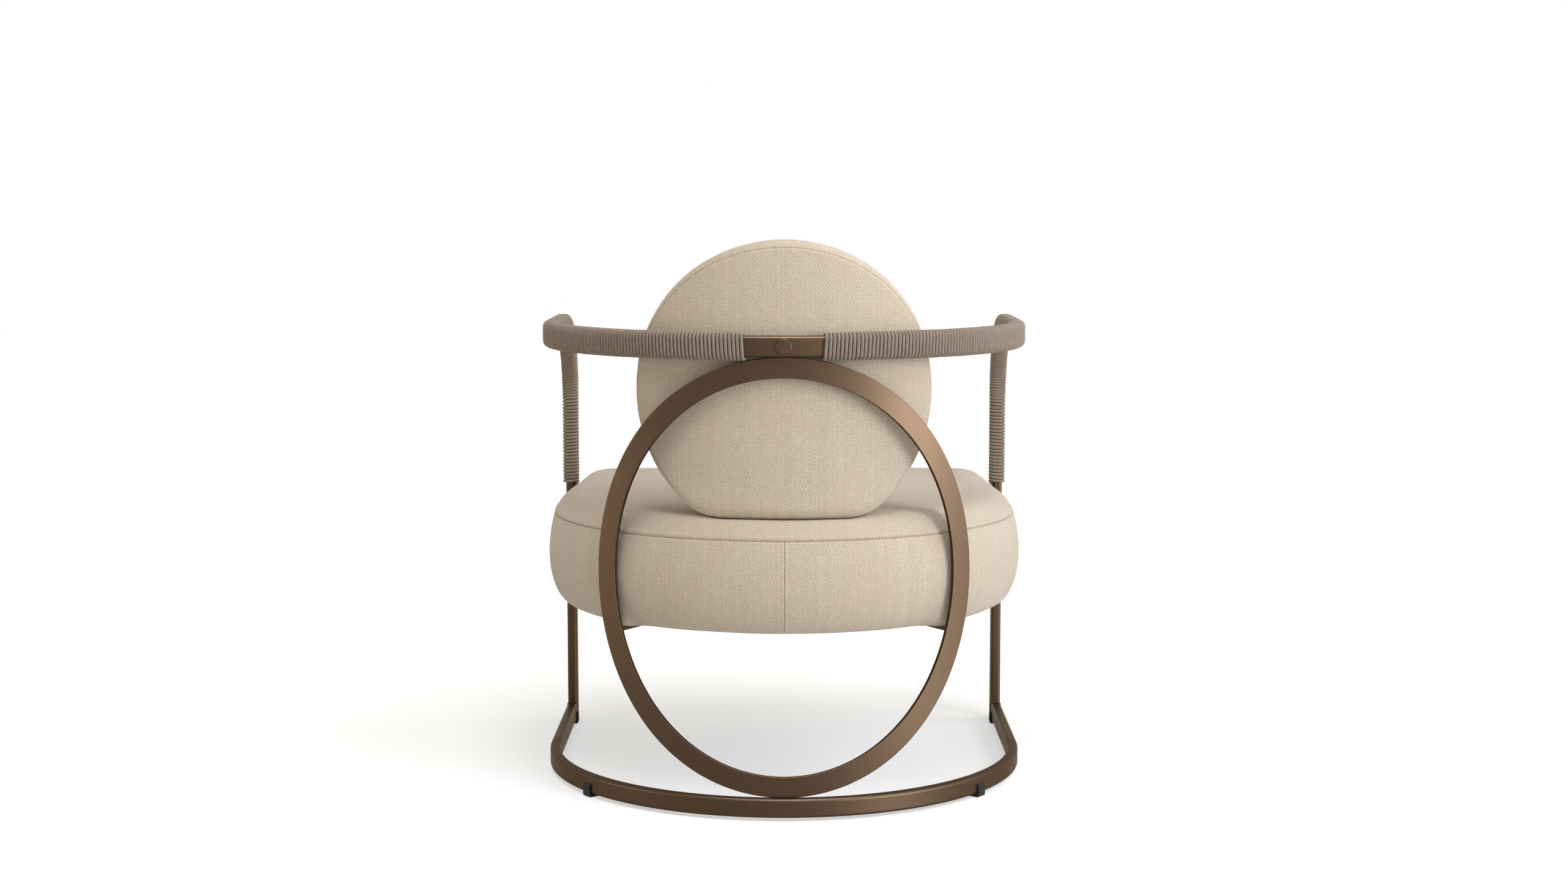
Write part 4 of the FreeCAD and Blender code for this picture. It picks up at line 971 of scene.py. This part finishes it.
def makeDustSheet():
    # The seat's outline brought in, then scaled ring by ring to its middle, with the same rings
    # again above it. Away from the edge a sum of waves lifts it, as on cloth pulled between
    # staples.
    outline, normals, _ = mirroredOutline(seatStretches(), *dustSheet["outlineMm"])
    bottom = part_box("seat_dust_cover")[0].z
    edge = outline - dustSheet["insetMm"] * mm * normals
    shares = np.linspace(0, 1, dustSheet["rows"] + 1)[1:]
    flat = shares[:, None, None] * edge
    waves = np.array(dustSheet["wavesMm"]) * mm
    waves = 0.5 + 0.5 * smoothNoise(flat, waves, dustSheet["waveSeed"])
    lift = dustSheet["waveMm"] * mm * (1 - shares ** 8)[:, None] * waves
    under = np.concatenate([flat + [0, arcY], (bottom + lift)[..., None]], -1)
    points = np.concatenate([under, under[::-1] + [0, 0, dustSheet["thicknessMm"] * mm]])
    block = uvBlock(0, len(points) - 1, closedLoop(points[..., 0]), closedLoop(points[..., 1]))
    piece = padPiece("dustSheet", points, [block], dustCloth)
    line = edge - dustSheet["stapleInsetMm"] * mm * normals + [0, arcY]
    line = np.column_stack([line, np.full(len(line), bottom - dustSheet["stapleProudMm"] * mm)])
    down = np.broadcast_to([0.0, 0.0, -1.0], line.shape)
    staples = stitchRow("dustStaples", line, down, dustSheet["stapleMm"], platedFixings)
    staples.parent = piece
    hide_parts("seat_dust_cover")


makeDustSheet()
print("dust sheet ready")


# Back pad


def backStretches():
    # a circle down to the lower corners, the corners' smaller circles, and the level foot
    radius, flat = backRadius, backPad["flatDropMm"] * mm
    corner = backPad["lowerCornerMm"] * mm
    across = math.sqrt((radius - corner) ** 2 - (flat - corner) ** 2)
    cornerCentre = np.array([across, corner - flat])
    meet = math.degrees(math.atan2(cornerCentre[1], cornerCentre[0]))
    return [(np.zeros(2), radius, 90.0, meet), (cornerCentre, corner, meet, -90.0),
            (np.array([across, -flat]), np.array([0.0, -flat]))]


def rimAngles(quarter, seamAngle, drop):
    # The rear rim's rows as angles over its round. Near the foot the seam's row moves over the
    # rim, so that the seam ends under the pad, and the rows before and after it are spread evenly.
    dive = np.clip((drop / mm - backPad["diveFromMm"]) / backPad["diveOverMm"], 0, 1)
    dive = dive ** 2 * (3 - 2 * dive)
    target = seamAngle + dive * (math.radians(backPad["diveTo"]) - seamAngle)
    quarter = quarter[:, None]
    before = quarter * target / seamAngle
    after = np.pi / 2 - (np.pi / 2 - quarter) * (np.pi / 2 - target) / (np.pi / 2 - seamAngle)
    return np.where(quarter <= seamAngle + 1e-9, before, after)


def makeBack():
    # Rings of the outline from the rear middle out, over the rear rim, along the wall, over the
    # front rim and in to the front middle. Each has its distance from the rails' line, and its
    # place across is turned round that line.
    outline, normals, around = mirroredOutline(backStretches(), *backPad["outlineMm"])
    columns = len(outline)
    rearRound, frontRound = backPad["rearRoundMm"] * mm, backPad["frontRoundMm"] * mm
    seamAngle = backPad["rearSeamShare"] * np.pi / 2
    beside = np.array(backPad["seamRows"])
    quarter = np.linspace(0, np.pi / 2, backPad["rimRows"])
    quarter = quarter[np.abs(quarter - seamAngle) > backPad["seamClear"]]
    closeRows = [seamAngle - beside, [seamAngle], seamAngle + beside]
    quarter = np.sort(np.concatenate([quarter, *closeRows]))
    rim = rimAngles(quarter, seamAngle, -outline[:, 1])
    flatStart, flatEnd = backPad["rearFlatMm"]
    rearFlat = np.linspace(flatStart * mm, rearRound + flatEnd * mm, backPad["rearFlatRows"])
    wall = np.linspace(0, 1, backPad["wallRows"] + 2)[1:-1]
    frontQuarter = np.linspace(np.pi / 2, 0, backPad["frontRimRows"])
    frontFlat = np.linspace(*backPad["frontFlatMm"], backPad["frontFlatRows"]) * mm
    rowInsets = [rearFlat, np.zeros(len(wall)), frontRound * (1 - np.sin(frontQuarter)), frontFlat]
    rowInsets = [np.repeat(line[:, None], columns, 1) for line in rowInsets]
    rowInsets.insert(1, rearRound * (1 - np.sin(rim)))
    rings = outline - np.concatenate(rowInsets)[..., None] * normals
    shares = np.linspace(0, 1, backPad["middleRows"] + 2)[1:-1]
    rings = np.concatenate([shares[:, None, None] * rings[:1], rings,
                            shares[::-1, None, None] * rings[-1:]])
    rimRow = len(shares) + len(rearFlat)
    wallRow = rimRow + len(quarter)
    frontRow = wallRow + len(wall)
    height = rings[..., 1]
    rear = rearReach(height[:wallRow])
    rear[rimRow:] -= rearRound * (1 - np.cos(rim))
    # the front has its own crown, and swells in its middle
    fromMiddle = np.linalg.norm(rings[frontRow:], axis=-1)
    swell = np.clip(1 - (fromMiddle / backRadius) ** 2, 0, 1)
    front = backRear - backPad["thicknessMm"] * mm - backPad["frontSwellMm"] * mm * swell
    front += backPad["frontCrownMm"] * mm * crownShare(height[frontRow:])
    front[:len(frontQuarter)] += (frontRound * (1 - np.cos(frontQuarter)))[:, None]
    between = rear[-1] + wall[:, None] * (front[0] - rear[-1])
    reach = np.concatenate([rear, between, front])
    turn = rings[..., 0] * (backPad["halfSpanMm"] / backPad["radiusMm"] / backRear)
    points = np.stack([reach * np.sin(turn), arcY + reach * np.cos(turn),
                       backHigh.z - backRadius + height], -1)
    profile = runLengths(points[:, columns // 4])
    rearSeam = rimRow + int(np.argmin(np.abs(quarter - seamAngle)))
    frontSeam = frontRow + int(backPad["frontSeamShare"] * (len(frontQuarter) - 1))
    move = uneven(points, backPad)
    for row in (rearSeam, frontSeam):
        fromSeam = profile - profile[row]
        move = move + seamGroove(fromSeam, backPad) + seamPuckers(fromSeam, around, backPad)
    rearward = [0.0, 1.0, 0.0]
    points = points + facingOut(points, 0, rearward) * move[..., None]
    flat = closedLoop(turn * backRear), closedLoop(height)
    side = np.broadcast_arrays(around, profile[:, None])
    blocks = [uvBlock(0, rearSeam, *flat), uvBlock(rearSeam, frontSeam, *side),
              uvBlock(frontSeam, len(points) - 1, *flat)]
    piece = padPiece("backPad", points, blocks, wovenCover)
    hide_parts("back_foam", "back_cover")
    final = facingOut(points, 0, rearward)
    for name, row in (("backStitchesRear", rearSeam - 1), ("backStitchesFront", frontSeam + 1)):
        stitches = stitchRow(name, points[row], final[row], backPad["stitchMm"])
        stitches.parent = piece


makeBack()
print("back pad ready")


# Bolt through the arm rail into the back pad

bolt = {"headMm": 11, "headHeightMm": 3, "edgeMm": 1.2, "domeMm": 0.5, "footMm": 0.3,
        "shankMm": 4, "lengthMm": 38, "sides": 72}


def makeBolt():
    # A profile turned about the bolt's own axis: shank, head's foot, a quarter round at its edge
    # and a parabola for the dome
    head, height, edge, dome, foot, shank, length = (bolt[key] * mm for key in (
        "headMm", "headHeightMm", "edgeMm", "domeMm", "footMm", "shankMm", "lengthMm"))
    quarter = np.linspace(0, np.pi / 2, 7)
    face = np.linspace(1, 0.06, 8)
    across = np.concatenate([[face[-1] * head, shank, shank, head - foot, head],
                             head - edge + edge * np.cos(quarter), (head - edge) * face[1:]])
    depth = np.concatenate([[-length, -length, 0, 0, foot],
                            height - dome - edge + edge * np.sin(quarter),
                            height - dome * face[1:] ** 2])
    turn = np.linspace(0, 2 * np.pi, bolt["sides"], endpoint=False)
    across, depth = across[:, None], np.broadcast_to(depth[:, None], (len(depth), bolt["sides"]))
    rows = np.stack([across * np.cos(turn), depth, across * np.sin(turn)], -1)
    rows = rows + [0, armHigh.y, armMiddle]
    piece = tubePiece("backBolt", rows, bronzeFrame, 2 * np.pi * head)
    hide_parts("back_bolt")


makeBolt()
print("bolt ready")


# Stage, light and camera

studio = {
    "floorSize": 14.0, "floorColour": (0.74, 0.74, 0.735), "floorLift": 0.5, "shadowReach": 0.5,
    "whiteFrom": 1.9, "ambient": 0.33, "ambientColour": (1.0, 0.895, 0.73), "aimHeight": 0.4,
    # name, azimuth, elevation, distance, width, height, watts, colour, only for gloss
    "lights": [
        ("keyLight", 46, 18, 3.2, 1.1, 2.4, 44, (0.95, 0.99, 1.07), False),
        ("sideLight", 96, 24, 3.4, 2.2, 2.2, 30, (0.95, 0.99, 1.07), False),
        ("topLight", 4, 66, 3.2, 2.2, 2.2, 48, (0.95, 0.99, 1.07), False),
        ("fillLight", -78, 14, 3.2, 1.4, 1.4, 8, (1.0, 0.95, 0.88), False),
        ("glossStrip", 49, 0, 3.2, 0.9, 0.9, 116, (0.90, 1.0, 1.15), True),
        ("glossSide", 70, 12, 3.2, 0.7, 2.0, 28, (0.90, 1.0, 1.15), True),
        ("glossLeft", -76, 4, 3.2, 0.9, 0.9, 28, (1.0, 0.98, 0.95), True),
        ("glossTop", 10, 68, 2.6, 1.2, 1.4, 125, (0.90, 1.0, 1.2), True),
    ],
}


def seenDirectly(tree):
    # 1 for rays from the camera, mirror rays and rays through glass, 0 for the rest
    path = addNode(tree, "ShaderNodeLightPath")
    seen = calc(tree, "MAXIMUM", path.outputs["Is Camera Ray"], path.outputs["Is Glossy Ray"])
    return calc(tree, "MAXIMUM", seen, path.outputs["Is Transmission Ray"])


def makeFloor():
    # Matt floor with a glow that only direct rays see: it grows with the distance from the chair
    # until the floor is as white as the background
    material = bpy.data.materials.new("studioFloor")
    material.use_nodes = True
    tree = material.node_tree
    tree.nodes.clear()
    place = addNode(tree, "ShaderNodeTexCoord").outputs["Object"]
    far = addNode(tree, "ShaderNodeVectorMath", {0: place}, operation="LENGTH").outputs["Value"]
    limits = {"Value": far, "From Min": studio["shadowReach"], "From Max": studio["whiteFrom"],
              "To Min": studio["floorLift"], "To Max": 1.0}
    far = addNode(tree, "ShaderNodeMapRange", limits, interpolation_type="SMOOTHSTEP").outputs[0]
    lift = calc(tree, "MULTIPLY", seenDirectly(tree), far)
    diffuse = addNode(tree, "ShaderNodeBsdfDiffuse", {"Color": (*studio["floorColour"], 1)})
    glow = addNode(tree, "ShaderNodeEmission", {"Color": (1, 1, 1, 1), "Strength": lift})
    both = addNode(tree, "ShaderNodeAddShader", {0: diffuse.outputs[0], 1: glow.outputs[0]})
    addNode(tree, "ShaderNodeOutputMaterial", {"Surface": both.outputs[0]})
    half = studio["floorSize"] / 2
    corners = [(-half, -half, 0), (half, -half, 0), (half, half, 0), (-half, half, 0)]
    mesh = bpy.data.meshes.new("studioFloor")
    mesh.from_pydata(corners, [], [(0, 1, 2, 3)])
    mesh.materials.append(material)
    floor = bpy.data.objects.new("studioFloor", mesh)
    bpy.context.scene.collection.objects.link(floor)


def makeWorld():
    # white where it is seen directly, and a dimmer warm light for everything else
    world = bpy.data.worlds.new("studioWorld")
    bpy.context.scene.world = world
    world.use_nodes = True
    tree = world.node_tree
    seen = seenDirectly(tree)
    strength = addNode(tree, "ShaderNodeMix", {0: seen, 2: studio["ambient"], 3: 1.0}).outputs[0]
    colour = mixColour(tree, seen, studio["ambientColour"], (1.0, 1.0, 1.0))
    background = tree.nodes["Background"]
    tree.links.new(colour, background.inputs["Color"])
    tree.links.new(strength, background.inputs["Strength"])


def makeLights():
    # azimuth turns from the camera's side of the chair towards the right of the picture
    for name, azimuth, elevation, distance, width, tall, watts, colour, gloss in studio["lights"]:
        turn, lift = math.radians(azimuth), math.radians(elevation)
        light = bpy.data.lights.new(name, "AREA")
        light.shape = "RECTANGLE"
        light.size, light.size_y, light.energy, light.color = width, tall, watts, colour
        lamp = bpy.data.objects.new(name, light)
        lamp.visible_diffuse = not gloss
        bpy.context.scene.collection.objects.link(lamp)
        level = math.cos(lift)
        away = np.array([-math.sin(turn) * level, math.cos(turn) * level, math.sin(lift)])
        lamp.location = away * distance + [0, 0, studio["aimHeight"]]
        lamp.rotation_euler = (math.pi / 2 - lift, 0, math.pi + turn)


view = {"lens": 53.26, "sensor": 36, "distance": 3.3686, "height": 0.82765, "tilt": 84.16}


def makeCamera():
    data = bpy.data.cameras.new("photoCamera")
    data.lens, data.sensor_width = view["lens"], view["sensor"]
    camera = bpy.data.objects.new("photoCamera", data)
    camera.location = (0, view["distance"], view["height"])
    camera.rotation_euler = (math.radians(view["tilt"]), 0, math.pi)
    bpy.context.scene.collection.objects.link(camera)
    bpy.context.scene.camera = camera


makeFloor()
makeWorld()
makeLights()
makeCamera()
bpy.context.scene.view_settings.view_transform = "Standard"
print("studio ready")
